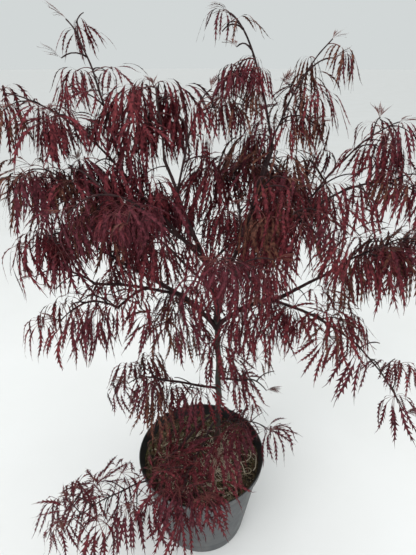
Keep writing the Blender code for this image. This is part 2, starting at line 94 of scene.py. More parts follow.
# Compost
COMPOST_TOP = 0.195
COMPOST_DROP = 0.004  # how much lower its edge lies
COMPOST_EDGE = COMPOST_TOP - COMPOST_DROP
COMPOST_RINGS, COMPOST_SIDES = 56, 144
COMPOST_GAP = 0.0003  # between it and the pot
LUMPS_PER_METRE, LUMP_HEIGHT = 38, 0.0028
HEAP_HEIGHT, HEAP_RADIUS = 0.0025, 0.018  # of what is heaped round the trunk
TRUNK_GAP = 0.011  # no crumb, tuft or scattered straw is placed nearer to the trunk's middle
CRUMBS, CRUMB_LIMIT = 5200, 0.121  # how many, and how far from the pot's axis the farthest lies
CRUMB_SIZE, CRUMB_EXTRA = 0.0008, 0.0032  # the smallest, and how much larger the largest is
FLAKES = 0.3  # the share of crumbs that are flat
MOSS_TUFTS, MOSS_LIMIT = 520, 0.119
MOSS_BLADES, BLADE_LENGTHS = (9, 18), (0.003, 0.0085)
BLADE_RADII = (0.00042, 0.0005, 0.00036, 0.00008)
TUFT_SPREAD = 0.0028
STRAWS, STRAW_LIMIT = 170, 0.12
GATHERED = 0.62  # the share of straws that lie in a heap in front of the trunk,
SCATTER_LIMIT = 0.11  # the others lie anywhere within this
STRAW_LENGTHS, STRAW_RADII = (0.018, 0.052), (0.0005, 0.0011)
PALE_ROOTS = ((0.052, -0.098), (0.066, -0.088), (0.098, -0.04), (-0.088, 0.03), (-0.03, -0.108),
              (0.086, 0.06))

# What lies on the compost: its darkest and lightest colours
LITTER = {
    "dark_crumbs": ((0.008, 0.006, 0.005), (0.034, 0.023, 0.016)),
    "bark_crumbs": ((0.04, 0.022, 0.012), (0.11, 0.066, 0.036)),
    "pale_crumbs": ((0.12, 0.09, 0.055), (0.26, 0.21, 0.14)),
    "green_moss": ((0.09, 0.08, 0.036), (0.28, 0.25, 0.13)),
    "dry_moss": ((0.21, 0.17, 0.11), (0.47, 0.41, 0.29)),
    "dead_grass": ((0.37, 0.31, 0.22), (0.68, 0.61, 0.48)),
    "pale_roots": ((0.28, 0.215, 0.14), (0.45, 0.37, 0.26)),
}

# Studio: name, kind, place, power, and the size of a lamp or the angle of the soft sun
LAMPS = (
    ("key", "AREA", (-1.3, -1.9, 2.6), 42, 1.8),
    ("top", "AREA", (0.6, 0.5, 2.9), 13, 2.4),
    ("fill", "AREA", (2.2, -1.6, 1.5), 12, 2.0),
    ("sky", "SUN", (-0.3, -0.6, 4.0), 0.55, 70),
)
LAMP_AIM = Vector((0, 0, 0.55))
SKY_COLOUR = (0.645, 0.68, 0.68, 1)
CAMERA_PLACE = (0.0143, -0.63, 0.976)
CAMERA_PITCH = 28  # down from level
SENSOR = 36
FOCAL_PIXELS, FRAME_PIXELS = 417, 555  # the focal length and the frame's height

# Limbs
TRUNK_FOOT = Vector((0.035, 0.04, COMPOST_TOP - 0.003))
FLARE_RADIUS = 0.0064  # what the trunk's foot adds to its radius
FLARE_HEIGHT = 0.009  # how soon that fades
COLLAR, COLLAR_HEIGHT = 0.45, 0.006  # the same at a bough's root, the first beside its radius
LIMB_RING = 0.0022  # between one ring of vertices and the next
TRUNK_SIDES, BOUGH_SIDES = 40, 20
LIMB_SWAY, SWAY_STEP = 0.0012, 0.016
NODE_STEP, NODE_SWELL = 0.047, 0.11
RIDGE_HEIGHT, PORE_HEIGHT = 0.00028, 0.00016

# Shoots
SIDES_PER_SPREAD = 1.9
SIDE_START, SIDE_SPAN = 0.18, 0.72
SIDE_REACH = (0.5, 0.72)
SIDE_TAPER = 0.35
SIDE_ANGLE, SIDE_SWING = 58, 14
SIDE_LIFT = (-0.1, 0.65)
SIDE_ARCH = 0.16
SIDE_RADII = (0.0013, 0.0008)
TWIG_SPACING = 0.024  # between the finest twigs of a shoot
TWIG_REACH = (0.016, 0.034)
TWIG_END = 0.94  # how far along a shoot they end
TWIG_ANGLES = (35, 80)
TWIG_LIFT = (-0.5, 0.9)
TWIG_ARCH = 0.12
TWIG_RADII = (0.001, 0.0007)
TWIG_RING = 0.007  # between one ring of vertices and the next
ZIGZAG, ZIGZAG_STEP = 0.0011, 0.011
KNOT = 0.35  # how much thicker a twig is where its leaves stand
SPUR_SPACING = 0.024  # between the leafy spurs of a bough
SPUR_REACH = (0.018, 0.05)
SPUR_START = 0.3  # how far along a bough they start
TRUNK_SPUR_START = 0.5
SPUR_SPREAD = 0.105  # how far a spur's leaves may hang from the bough
HANG = 0.035  # a mass's middle lies this far under its leading shoot
YOUNG_TIPS = 0.35  # the share of side shoots that end in folded young leaves
BARE_HEIGHT = 0.98  # the long tips above this height are nearly bare
UNDER_LEAN = 1.1  # how much fuller the underside of a mass is than its top
UNDER_LIMITS = (0.4, 1.7)

# Leaves
LEAF_SPACING = 0.031
LEAF_START = 0.62
LEAF_ANGLE, LEAF_SWING = 68, 26
LEAF_SIZES = (0.78, 1.06)
TIP_LEAF, TIP_LEAF_SIZES = 0.985, (0.7, 0.95)
LEAF_TILT, LEAF_ROLL = (-18, 12), (-20, 20)
STALKS = (0.014, 0.034)
STALK_LIFT = (-0.5, 0.6)
STALK_RADII = (0.0009, 0.00062, 0.00055, 0.00055, 0.0011)
HUB_LIMIT = 0.9  # of its mass's spread, within which a leaf's hub stays
LEAF_OVERHANG = 0.026  # how far a leaf's tips may hang beyond that spread
PROUD = 0.022  # how far a leaf may hang beyond the solids' box
LEAF_LENGTH = 0.1  # of the middle lobe, along its curve
LEAF_SHAPES, YOUNG_SHAPES = 24, 6
FAN = (112, 138)  # from the middle lobe to the outermost
OUTER_LOSS = 0.36  # how much shorter the outermost lobes are
LOBE_LENGTHS = (0.86, 1.08)
LOBE_LIFT = (-10, 26)
LOBE_STEPS = 40  # in which a lobe's line is followed
LOBE_SWAY, LOBE_WAVE, LOBE_TWIST = 14, 0.07, 60
HOOK_START, HOOK_SWAY = 0.76, 45  # from where its long tip hooks aside, and how far at most
LOBE_PLACES = np.array((0, 0.11, 0.22, 0.32, 0.42, 0.52, 0.62, 0.72, 0.82, 0.91, 1))
# Half of its width at those places, without the teeth
LOBE_WIDTHS = (0.0004, 0.0004, 0.0006, 0.0014, 0.0019, 0.002, 0.0018, 0.0014, 0.0009, 0.0005, 0.0002)
BLADE_START, BLADE_END = 2, 8  # the places between which it has teeth
TEETH = (0.004, 0.006, 0.0067, 0.0062, 0.005, 0.0034)  # how far each pair stands out from the midrib
TOOTH_REACH = (0.7, 1.15)
TOOTH_FOOT = 0.35  # where in its step along the midrib a tooth starts; it ends where that does
TOOTH_FORWARD = (0.2, 0.7)  # how far ahead of that end its point lies, in such steps

# Leaves grow larger from the front of the crown to its back, and from its top down
SIZE_BY_DEPTH = (-0.25, 0.6), (0.08, 1.0), (0.3, 0.94)
SIZE_BY_HEIGHT = (0.4, 1.3), (0.62, 1.12), (0.9, 1.1)

# Leaf tints: base colour, its darker patches painted as the shade of fine curls and teeth, and how many
# sprays in a hundred have it
TINTS = {
    "burgundy": ((0.163, 0.028, 0.035), (0.042, 0.007, 0.01), 48),
    "wine": ((0.122, 0.025, 0.035), (0.035, 0.007, 0.01), 30),
    # crimson: the leaf's red lifted to a brighter red, painted as the glow of light shining through thin
    # outer leaves
    "crimson": ((0.18, 0.03, 0.036), (0.05, 0.009, 0.011), 12),
    "bronze": ((0.15, 0.056, 0.038), (0.036, 0.013, 0.01), 10),
}
# Inner sprays have the crimson tint, painted glow of light shining through, less often
INNER_TINTS = {"bronze": 2.4, "crimson": 0.3}  # how much more often inner sprays have a tint
INNER_WORDS = ("low", "inner", "centre", "pot")  # in the names of masses and boughs with inner sprays


@dataclass(frozen=True)
class LeafKind:
    opening: tuple[float, float]  # how much of a lobe it takes to arch over
    droop: tuple[float, float]  # down, past the arch
    lobes: tuple[int, ...]
    curl: tuple[float, float]  # how far a lobe's tail turns up
    breadth: float  # of the blades beside the usual


LEAF_KINDS = {
    ("hanging", "low"): LeafKind((0.32, 0.7), (74, 86), (9, 10, 10, 11), (-10, 75), 1.12),
    ("hanging", "high"): LeafKind((0.28, 0.58), (74, 90), (10, 10, 11, 12), (-35, 30), 0.9),
    ("spreading", "low"): LeafKind((0.8, 1.3), (38, 64), (7, 8, 9), (-10, 75), 1.08),
    ("spreading", "high"): LeafKind((0.72, 1.12), (50, 72), (8, 9, 10), (-25, 50), 0.9),
    ("hanging", "near"): LeafKind((0.34, 0.7), (70, 88), (11, 12, 12, 13), (-35, 40), 0.64),
    ("spreading", "near"): LeafKind((0.75, 1.15), (50, 70), (9, 10, 11), (-25, 50), 0.66),
    ("hanging", "middle"): LeafKind((0.32, 0.66), (70, 88), (10, 10, 11, 12), (-35, 40), 0.9),
    ("spreading", "middle"): LeafKind((0.75, 1.15), (48, 70), (8, 9, 10), (-25, 50), 0.9),
}
LOW_TO = 0.56  # under this height leaves are of the low kinds,
NEAR_TO = -0.1  # else of the near kinds if they grow in front of this,
MIDDLE_TO = 0.84  # else of the middle kinds under this height, and of the high kinds above


@dataclass(frozen=True)
class Habit:
    """How a mass or a bough is leaved."""
    fullness: float = 0.44  # the share of its leaves that it keeps
    size: float = 1.0  # of its leaves beside the usual
    openness: float = 0.28  # the share of them that spread wide instead of hanging
    leading: float = 2.2  # how much fuller its leading shoot is than its other shoots
    bare: float = 0.28  # how full it still is above BARE_HEIGHT


@dataclass(frozen=True)
class Stem:
    """An arching stem, told by where it springs from and where it gets to."""
    parent: str | Vector  # the limb it springs from, or the place where it starts
    fork: float  # how far along that limb, 0 at the root and 1 at the tip
    heading: float  # from +X towards +Y
    reach: float  # level distance from root to tip
    rise: float  # height of the tip above the root
    arch: float = 0.0  # extra height at mid length
    bow: float = 0.0  # bend to the left at mid length
    thick: float = 0.0019  # radius at the root
    thin: float = 0.0009  # radius at the tip

    @cached_property
    def root(self):
        return LIMBS[self.parent].at(self.fork) if isinstance(self.parent, str) else self.parent

    @cached_property
    def length(self):
        return hypot(self.reach, self.rise, self.arch)

    def at(self, t):
        """The point a fraction t of the way along it."""
        ahead, left = way(self.heading), way(self.heading + 90)
        swell = 4 * t * (1 - t)
        return (self.root + ahead * self.reach * t + left * self.bow * swell
                + UP * (self.rise * t + self.arch * swell))

    def radius(self, t):
        return self.thick + (self.thin - self.thick) * t


def way(heading):
    """A level step of one metre along a heading."""
    return Vector((cos(radians(heading)), sin(radians(heading)), 0))


LIMBS = {
    "trunk": Stem(TRUNK_FOOT, 0, -117, 0.01, 0.35, 0, 0.004, 0.0066, 0.0052),
    "bough_centre": Stem("trunk", 0.98, -136, 0.06, 0.195, 0, 0.02, 0.0046, 0.0034),
    "bough_leader": Stem("bough_centre", 0.3, 9, 0.085, 0.265, 0, -0.01, 0.0036, 0.0026),
    "bough_left": Stem("trunk", 0.92, -161, 0.1, 0.112, 0.01, 0, 0.0044, 0.0034),
    "bough_left_upper": Stem("bough_left", 0.97, 168, 0.115, 0.06, 0, 0, 0.0031, 0.0022),
    "bough_left_level": Stem("bough_left", 0.7, -164, 0.145, 0.045, 0.006, 0, 0.0028, 0.0022),
    "bough_left_steep": Stem("bough_left_upper", 0.14, -122, 0.045, 0.11, 0, 0, 0.0026, 0.0021),
    "bough_left_low": Stem("bough_left_level", 0.4, -125, 0.07, -0.005, 0.006, 0, 0.0024, 0.002),
    "bough_right": Stem("trunk", 0.94, -16, 0.115, 0.08, 0.012, 0, 0.0042, 0.0033),
    "bough_right_outer": Stem("bough_right", 0.97, -11, 0.075, 0.055, 0, 0, 0.003, 0.0023),
    "bough_right_trail": Stem("bough_right", 0.84, -28, 0.12, -0.025, 0.006, 0, 0.0027, 0.0021),
    "bough_right_upper": Stem("bough_leader", 0.35, -10, 0.13, 0.095, 0, 0, 0.003, 0.0022),
    "bough_top": Stem("bough_centre", 0.97, 150, 0.05, 0.115, 0, 0, 0.0031, 0.0023),
    "bough_front_left": Stem("bough_centre", 0.82, -134, 0.095, 0.08, 0, 0, 0.0029, 0.0022),
    "bough_tall_left": Stem("bough_centre", 0.7, 167, 0.135, 0.14, 0, 0, 0.0031, 0.0023),
    "bough_front": Stem("bough_leader", 0.2, -85, 0.09, 0.045, 0.008, 0, 0.0028, 0.0021),
    "bough_back": Stem("trunk", 0.76, 97, 0.12, 0.16, 0, 0, 0.0038, 0.0029),
    "bough_back_left": Stem("bough_back", 0.6, 152, 0.14, 0.1, 0, 0, 0.0028, 0.0022),
    "bough_back_right": Stem("bough_back", 0.9, 24, 0.12, 0.095, 0, 0, 0.0027, 0.0022),
    "twig_low_left": Stem("trunk", 0.48, -163, 0.12, 0.055, 0, 0, 0.0026, 0.002),
    "twig_low_right": Stem("trunk", 0.56, -40, 0.065, 0.03, 0, 0, 0.0024, 0.002),
    "twig_pot_front": Stem("trunk", 0.22, -112, 0.14, 0.01, 0.012, 0, 0.0026, 0.002),
    "twig_pot_left": Stem("trunk", 0.3, -133, 0.19, -0.045, 0.014, 0, 0.0027, 0.0021),
}

# The parts of the crown, and their masses: leading shoot, how far the foliage spreads around that, and habit
MASSES = {
    "top": {
        "leader": (("bough_leader", 0.98, 178, 0.07, 0.172, 0.038), 0.085, Habit(0.37, 0.68, bare=0.2)),
        "top_right": (("bough_leader", 0.6, 25, 0.122, 0.245, 0.022, 0.018), 0.095,
                      Habit(0.21, 0.8, bare=0.75)),
        "tall_left": (("bough_tall_left", 0.98, 160, 0.068, 0.212, 0.038), 0.09, Habit(0.11, 0.7, bare=0.66)),
        "far_left": (("bough_tall_left", 0.78, 186, 0.175, 0.15, 0.03), 0.095, Habit(0.12, 0.95)),
        "top": (("bough_top", 0.98, 110, 0.045, 0.1, 0.024), 0.105, Habit(0.47, 1.12)),
        "top_middle": (("bough_top", 0.55, 42, 0.07, 0.145, 0.03), 0.085, Habit(0.08, 0.85)),
    },
    "left": {
        "front_left": (("bough_front_left", 0.98, -150, 0.115, 0.03, 0.03), 0.095, Habit(0.08)),
        "left_upper": (("bough_left_upper", 0.98, 178, 0.12, 0, 0.03), 0.09, Habit(0.17, 1.25, leading=5)),
        "left_back": (("bough_left_upper", 0.55, 125, 0.12, 0.05, 0.03), 0.09, Habit(0.13)),
        "left_level": (("bough_left_level", 0.98, 172, 0.105, 0.005, 0.02), 0.085, Habit(0.01)),
        "left_low": (("bough_left_low", 0.98, -165, 0.09, -0.01, 0.022), 0.085, Habit(0.29)),
        "left_steep": (("bough_left_steep", 0.98, 168, 0.16, 0.07, 0.03), 0.095, Habit(0.8)),
        "left_inner": (("bough_left", 0.5, -128, 0.05, -0.01, 0.012), 0.075, Habit(0.9)),
    },
    "right": {
        "front": (("bough_front", 0.98, -80, 0.095, 0.02, 0.03), 0.095, Habit(0.35)),
        "centre": (("bough_leader", 0.52, -62, 0.09, 0.1, 0.03), 0.09, Habit(0.01)),
        "right_upper": (("bough_right_upper", 0.98, -5, 0.145, 0.015, 0.025), 0.09, Habit(0.34)),
        "right_high": (("bough_right_upper", 0.72, 14, 0.15, 0.135, 0.025), 0.095, Habit(0.11)),
        "right_front": (("bough_right_upper", 0.45, -58, 0.11, 0.01, 0.03), 0.09, Habit(0.34)),
        "right_outer": (("bough_right_outer", 0.98, -1, 0.16, 0.06, 0.02), 0.09, Habit(0.52, 1.1)),
        "right_trail": (("bough_right_trail", 0.98, -20, 0.138, -0.145, 0.02), 0.078,
                        Habit(0.06, leading=4.2)),
        "right_hang": (("bough_right_trail", 0.62, -62, 0.05, -0.015, 0.015), 0.08, Habit(0.7, 1.1)),
        "centre_low": (("bough_right", 0.36, -55, 0.06, -0.005, 0.02), 0.07, Habit(0.17)),
    },
    "low": {
        "low_left": (("twig_low_left", 0.98, 190, 0.065, 0, 0.012), 0.075, Habit(0.9)),
        "low_middle": (("twig_low_left", 0.45, -110, 0.045, 0, 0.012), 0.065, Habit(0.21)),
        "low_right": (("twig_low_right", 0.98, -20, 0.045, -0.01, 0.012), 0.07, Habit(0.01)),
        "pot_right": (("trunk", 0.17, -16, 0.115, 0.015, 0.022), 0.085, Habit(0.14, 0.85, 0.1)),
        "pot_front": (("twig_pot_front", 0.98, -108, 0.075, -0.012, 0.016), 0.1, Habit(0.55, 1.2, 0.12)),
        "pot_trail": (("twig_pot_left", 0.98, -146, 0.165, 0.01, 0.012), 0.085, Habit(0.4, 1.2, 0.22)),
    },
    "back": {
        "back_top": (("bough_leader", 0.46, 98, 0.12, 0.085, 0.03), 0.095, Habit()),
        "back": (("bough_back", 0.98, 92, 0.13, 0.045, 0.03), 0.095, Habit(0.14)),
        "back_left": (("bough_back_left", 0.98, 142, 0.125, 0.02, 0.03), 0.095, Habit()),
        "back_left_low": (("bough_back_left", 0.62, 105, 0.12, -0.06, 0.04), 0.09, Habit(0.05)),
        "back_right": (("bough_back_right", 0.98, 30, 0.125, 0.02, 0.03), 0.095, Habit()),
        "back_right_low": (("bough_back_right", 0.5, 62, 0.12, -0.06, 0.04), 0.09, Habit()),
    },
}

# The boughs whose leafy spurs belong to each part
SPURS = {
    "top": {"bough_top": Habit(1, 1.3), "bough_tall_left": Habit(1, 1.25)},
    "left": {"bough_left": Habit(0.16), "bough_left_upper": Habit(0.22), "bough_left_level": Habit(0.21),
             "bough_left_steep": Habit(0.31), "bough_left_low": Habit(0.34), "bough_front_left": Habit(0.11),
             "bough_centre": Habit(0.13)},
    "right": {"bough_right": Habit(0.44, 1.1), "bough_right_outer": Habit(0.78, 1.2),
              "bough_right_upper": Habit(0.68), "bough_leader": Habit(0.8, 1.15), "bough_front": Habit(0.26)},
    "low": {"trunk": Habit(0.27), "twig_low_left": Habit(0.36), "twig_low_right": Habit(0.13),
            "twig_pot_front": Habit(0.64), "twig_pot_left": Habit(0.31)},
    "back": {"bough_back": Habit(0.3), "bough_back_left": Habit(0.31), "bough_back_right": Habit(0.35)},
}


# ---- modelling by operators

def deselect():
    if bpy.context.object and bpy.context.object.mode != "OBJECT":
        bpy.ops.object.mode_set(mode="OBJECT")
    bpy.ops.object.select_all(action="DESELECT")


def choose(piece):
    deselect()
    piece.select_set(True)
    bpy.context.view_layer.objects.active = piece


def named(name):
    piece = bpy.context.object
    piece.name = name
    piece.data.name = name
    return piece


def join(pieces, name):
    deselect()
    for piece in pieces:
        piece.select_set(True)
    bpy.context.view_layer.objects.active = pieces[0]
    bpy.ops.object.join()
    return named(name)


def face_outwards(piece):
    choose(piece)
    bpy.ops.object.mode_set(mode="EDIT")
    bpy.ops.mesh.select_all(action="SELECT")
    bpy.ops.mesh.normals_make_consistent(inside=False)
    bpy.ops.object.mode_set(mode="OBJECT")


def turn_shell(name, profile, sides):
    """A closed turned shell: a disc drawn out ring by ring along a profile of (radius, height)."""
    deselect()
    radius, height = profile[0]
    bpy.ops.mesh.primitive_circle_add(vertices=sides, radius=radius, fill_type="NGON",
                                      location=(0, 0, height))
    piece = named(name)
    bpy.ops.object.transform_apply(location=True)
    bpy.ops.object.mode_set(mode="EDIT")
    bpy.ops.mesh.select_all(action="SELECT")
    for (before, low), (after, high) in zip(profile, profile[1:]):
        bpy.ops.mesh.extrude_region_move(TRANSFORM_OT_translate={"value": (0, 0, high - low)})
        scale = after / before
        bpy.ops.transform.resize(value=(scale, scale, 1), center_override=(0, 0, high))
    face_outwards(piece)
    return piece


def smooth(piece, degrees):
    choose(piece)
    bpy.ops.object.shade_smooth_by_angle(angle=radians(degrees))


# ---- materials

def feed(made, node, inputs):
    """Gives each named input of a node its value, or a link from another node's output."""
    for name, value in inputs.items():
        if isinstance(value, bpy.types.NodeSocket):
            made.node_tree.links.new(value, node.inputs[name])
        else:
            node.inputs[name].default_value = value


def outputs_of(made, kind, inputs):
    """The outputs of a new node of that kind."""
    node = made.node_tree.nodes.new("ShaderNode" + kind)
    feed(made, node, inputs)
    return node.outputs


def shade(made, inputs):
    feed(made, made.node_tree.nodes["Principled BSDF"], inputs)


def new_material(name, roughness, specular):
    made = bpy.data.materials.new(name)
    made.use_nodes = True
    shade(made, {"Roughness": roughness, "Specular IOR Level": specular})
    return made


def own_place(made, stretch):
    """The piece's own coordinates, stretched."""
    place = outputs_of(made, "TexCoord", {})["Object"]
    return outputs_of(made, "Mapping", {"Vector": place, "Scale": stretch})["Vector"]


def noise_pattern(made, scale, detail, stretch=(1, 1, 1)):
    inputs = {"Vector": own_place(made, stretch), "Scale": scale, "Detail": detail}
    return outputs_of(made, "TexNoise", inputs)["Fac"]


def ramp(made, value, stops):
    """Colours along a value; stops are (position, colour), and a colour may be a level of grey."""
    node = made.node_tree.nodes.new("ShaderNodeValToRGB")
    elements = node.color_ramp.elements
    while len(elements) < len(stops):
        elements.new(0.5)
    for element, (position, colour) in zip(elements, stops):
        element.position = position
        element.color = (*(colour if isinstance(colour, tuple) else (colour,) * 3), 1)
    feed(made, node, {"Fac": value})
    return node.outputs["Color"]


def blotches(made, scale, detail, stops, stretch=(1, 1, 1)):
    """Colours along a noise pattern."""
    return ramp(made, noise_pattern(made, scale, detail, stretch), stops)


def mixed(made, factor, under, over):
    node = made.node_tree.nodes.new("ShaderNodeMix")
    node.data_type = "RGBA"
    feed(made, node, {"Factor": factor, "A": under, "B": over})
    return node.outputs["Result"]


def lenticels(made, skin, scale, stretch, sizes, stops):
    """The skin with fine pale dots, one in each cell of a pattern."""
    cells = outputs_of(made, "TexVoronoi", {"Vector": own_place(made, stretch), "Scale": scale})["Distance"]
    dots = ramp(made, cells, [(sizes[0], 1), (sizes[1], 0)])
    return mixed(made, dots, skin, blotches(made, 30, 1, stops))


def gloss(made, scale, detail, smoothest, roughest):
    inputs = {"Value": noise_pattern(made, scale, detail), "To Min": smoothest, "To Max": roughest}
    shade(made, {"Roughness": outputs_of(made, "MapRange", inputs)["Result"]})


def relief(made, scale, detail, strength, height, stretch=(1, 1, 1)):
    inputs = {"Height": noise_pattern(made, scale, detail, stretch), "Strength": strength, "Distance": height}
    shade(made, {"Normal": outputs_of(made, "Bump", inputs)["Normal"]})


def plain_finish(name, roughness, specular, scale, detail, stops, skin=None):
    """Colours along one pattern, and a skin in relief, told by its scale, detail, strength and height."""
    made = new_material(name, roughness, specular)
    shade(made, {"Base Color": blotches(made, scale, detail, stops)})
    if skin:
        relief(made, *skin)
    return made


def leaf_finish(tint):
    """A cut leaf: its deep colour, with darker patches painted in as the shade of fine curls and teeth, and a
    fine veined skin.
    """
    light, painted_shade, _ = TINTS[tint]
    stops = [(0.38, painted_shade), (0.64, light)]
    return plain_finish(tint + "_leaf", 0.66, 0.11, 230, 4, stops, (900, 2, 0.25, 0.0004))


def stalk_finish():
    stops = [(0.35, (0.085, 0.018, 0.022)), (0.65, (0.145, 0.042, 0.038))]
    return plain_finish("leaf_stalk", 0.5, 0.25, 60, 2, stops, (1500, 1, 0.2, 0.0002))


def young_finish():
    """A young leaf, still folded: bronze with a green cast."""
    stops = [(0.3, (0.08, 0.02, 0.02)), (0.7, (0.14, 0.048, 0.034))]
    return plain_finish("young_leaf", 0.5, 0.25, 45, 3, stops, (900, 2, 0.25, 0.0004))


def twig_finish():
    """Young twigs: near-black purple skin with fine pale lenticels and a slight sheen."""
    made = new_material("twig_skin", 0.62, 0.2)
    stops = [(0.3, (0.012, 0.006, 0.007)), (0.72, (0.046, 0.018, 0.019))]
    skin = blotches(made, 120, 5, stops, (1, 1, 0.35))
    pale = [(0.0, (0.12, 0.085, 0.06)), (1.0, (0.16, 0.12, 0.09))]
    shade(made, {"Base Color": lenticels(made, skin, 420, (1, 1, 1), (0.06, 0.14), pale)})
    relief(made, 500, 6, 0.5, 0.0006, (1, 1, 0.3))
    return made


def trunk_finish():
    """Smooth grey-green bark, browner at the foot, with darker upright streaks and lenticels."""
    made = new_material("trunk_skin", 0.72, 0.3)
    skin = blotches(made, 90, 8, [(0.28, (0.026, 0.024, 0.022)), (0.5, (0.062, 0.063, 0.055)),
                                  (0.76, (0.112, 0.11, 0.096))], (1, 1, 0.18))
    brown = blotches(made, 40, 5, [(0.2, (0.04, 0.024, 0.02)), (0.9, (0.075, 0.048, 0.036))])
    place = outputs_of(made, "TexCoord", {})["Object"]
    level = outputs_of(made, "SeparateXYZ", {"Vector": place})["Z"]
    brown_heights = {"Value": level, "From Min": COMPOST_TOP, "From Max": COMPOST_TOP + 0.11}
    worn = mixed(made, outputs_of(made, "MapRange", brown_heights)["Result"], brown, skin)
    pale = [(0.0, (0.17, 0.15, 0.115)), (1.0, (0.23, 0.205, 0.16))]
    shade(made, {"Base Color": lenticels(made, worn, 260, (0.45, 0.45, 1.4), (0.05, 0.12), pale)})
    relief(made, 320, 8, 0.7, 0.001, (1, 1, 0.25))
    return made


def pot_finish():
    """Moulded grey-black plastic: dusty, scuffed, and faintly marked by the turning of the mould."""
    made = new_material("pot_wall", 0.5, 0.45)
    plain = blotches(made, 9, 6, [(0.3, (0.06, 0.064, 0.068)), (0.75, (0.098, 0.103, 0.108))])
    dust = blotches(made, 34, 10, [(0.52, 0), (0.86, 0.55)], (1, 1, 0.5))
    pale = blotches(made, 300, 4, [(0.2, (0.13, 0.13, 0.122)), (0.8, (0.205, 0.2, 0.185))])
    shade(made, {"Base Color": mixed(made, dust, plain, pale)})
    gloss(made, 60, 6, 0.38, 0.72)
    relief(made, 700, 4, 0.35, 0.0006)
    return made


def rim_and_inside_shade_finish():
    """The pot's lip and its inside, painted near-black as the shade that lies on them."""
    stops = [(0.3, (0.011, 0.012, 0.013)), (0.8, (0.034, 0.035, 0.036))]
    made = plain_finish("pot_rim_and_inside_painted_shade", 0.42, 0.45, 40, 6, stops, (800, 3, 0.3, 0.0004))
    gloss(made, 90, 5, 0.3, 0.6)
    return made


def compost_finish():
    made = new_material("potting_mix", 0.92, 0.2)
    soil = blotches(made, 210, 9, [(0.28, (0.014, 0.01, 0.007)), (0.52, (0.055, 0.037, 0.023)),
                                   (0.78, (0.15, 0.11, 0.07))])
    mossy = blotches(made, 26, 4, [(0.44, 0), (0.64, 0.75)])
    green = blotches(made, 350, 6, [(0.25, (0.045, 0.047, 0.016)), (0.75, (0.185, 0.18, 0.07))])
    shade(made, {"Base Color": mixed(made, mossy, soil, green)})
    relief(made, 420, 10, 1.0, 0.003)
    return made


# ---- joined meshes from arrays

class Joined:
    """Many small shapes gathered into the arrays of one mesh."""

    def __init__(self):
        self.points, self.corners, self.sizes, self.count = [], [], [], 0

    def add(self, points, corners, sizes):
        self.points.append(points)
        self.corners.append(corners + self.count)
        self.sizes.append(sizes)
        self.count += len(points)

    def make(self, name, finish):
        used, corners = np.unique(np.concatenate(self.corners), return_inverse=True)
        points = np.concatenate(self.points)[used].astype(np.float32)
        corners = corners.ravel().astype(np.int32)
        sizes = np.concatenate(self.sizes).astype(np.int32)
        mesh = bpy.data.meshes.new(name)
        mesh.vertices.add(len(points))
        mesh.vertices.foreach_set("co", points.ravel())
        mesh.loops.add(len(corners))
        mesh.loops.foreach_set("vertex_index", corners)
        mesh.polygons.add(len(sizes))
        mesh.polygons.foreach_set("loop_start", np.cumsum(sizes) - sizes)
        mesh.update(calc_edges=True)
        mesh.polygons.foreach_set("use_smooth", np.ones(len(sizes), dtype=bool))
        mesh.materials.append(finish)
        piece = bpy.data.objects.new(name, mesh)
        bpy.context.scene.collection.objects.link(piece)
        return piece


def face_arrays(faces):
    """The corners of all the faces in a row, and how many each face has."""
    return (np.array([corner for face in faces for corner in face], dtype=np.int32),
            np.array([len(face) for face in faces], dtype=np.int32))


def unit(vectors):
    return vectors / np.maximum(np.linalg.norm(vectors, axis=-1, keepdims=True), 1e-9)


def tube(points, radii, sides):
    """A closed round stem along a line of points."""
    points, radii = np.asarray(points, float), np.asarray(radii, float)
    along = unit(np.gradient(points, axis=0))
    across = np.eye(3)[np.argmin(np.abs(points[-1] - points[0]))]
    side = unit(np.cross(along, across))
    over = np.cross(side, along)
    turns = np.arange(sides) * 2 * pi / sides
    ring = side[:, None] * np.cos(turns)[None, :, None] + over[:, None] * np.sin(turns)[None, :, None]
    skin = points[:, None] + ring * radii[:, None, None]
    last = (len(points) - 1) * sides
    faces = [(i + j, i + (j + 1) % sides, i + sides + (j + 1) % sides, i + sides + j)
             for i in range(0, last, sides) for j in range(sides)]
    faces += [tuple(range(sides))[::-1], tuple(range(last, last + sides))]
    return skin.reshape(-1, 3), *face_arrays(faces)


# ---- leaves

def lobe_line(chance, length, turn, opening, droop, lift, curl):
    """The midrib of a lobe, by its points at LOBE_PLACES and the way the blade spreads there."""
    steps = np.linspace(0, 1, LOBE_STEPS + 1)
    bend = np.clip(steps / opening, 0, 1)
    bend = bend * bend * (3 - 2 * bend)
    hook = np.clip((steps - HOOK_START) / (1 - HOOK_START), 0, 1) ** 2
    pitch = np.radians(lift + (droop - lift) * bend + chance.uniform(*curl) * hook)
    yaw = np.radians(turn + chance.uniform(-LOBE_SWAY, LOBE_SWAY) * steps ** 2
                     + chance.uniform(-HOOK_SWAY, HOOK_SWAY) * hook)
    along = np.stack([np.cos(pitch) * np.cos(yaw), np.cos(pitch) * np.sin(yaw), np.sin(pitch)], axis=1)
    line = np.vstack([np.zeros(3), np.cumsum(along[:-1] * length / LOBE_STEPS, axis=0)])
    side = np.stack([-np.sin(yaw), np.cos(yaw), np.zeros_like(yaw)], axis=1)
    wave = chance.uniform(-LOBE_WAVE, LOBE_WAVE) * length * np.sin(steps * pi * 1.5) * steps
    line += side * wave[:, None]
    twist = np.radians(chance.uniform(-LOBE_TWIST, LOBE_TWIST)) * steps[:, None]
    side = side * np.cos(twist) + np.cross(side, along) * np.sin(twist)
    return [np.stack([np.interp(LOBE_PLACES, steps, value[:, i]) for i in range(3)], axis=1)
            for value in (line, side)]


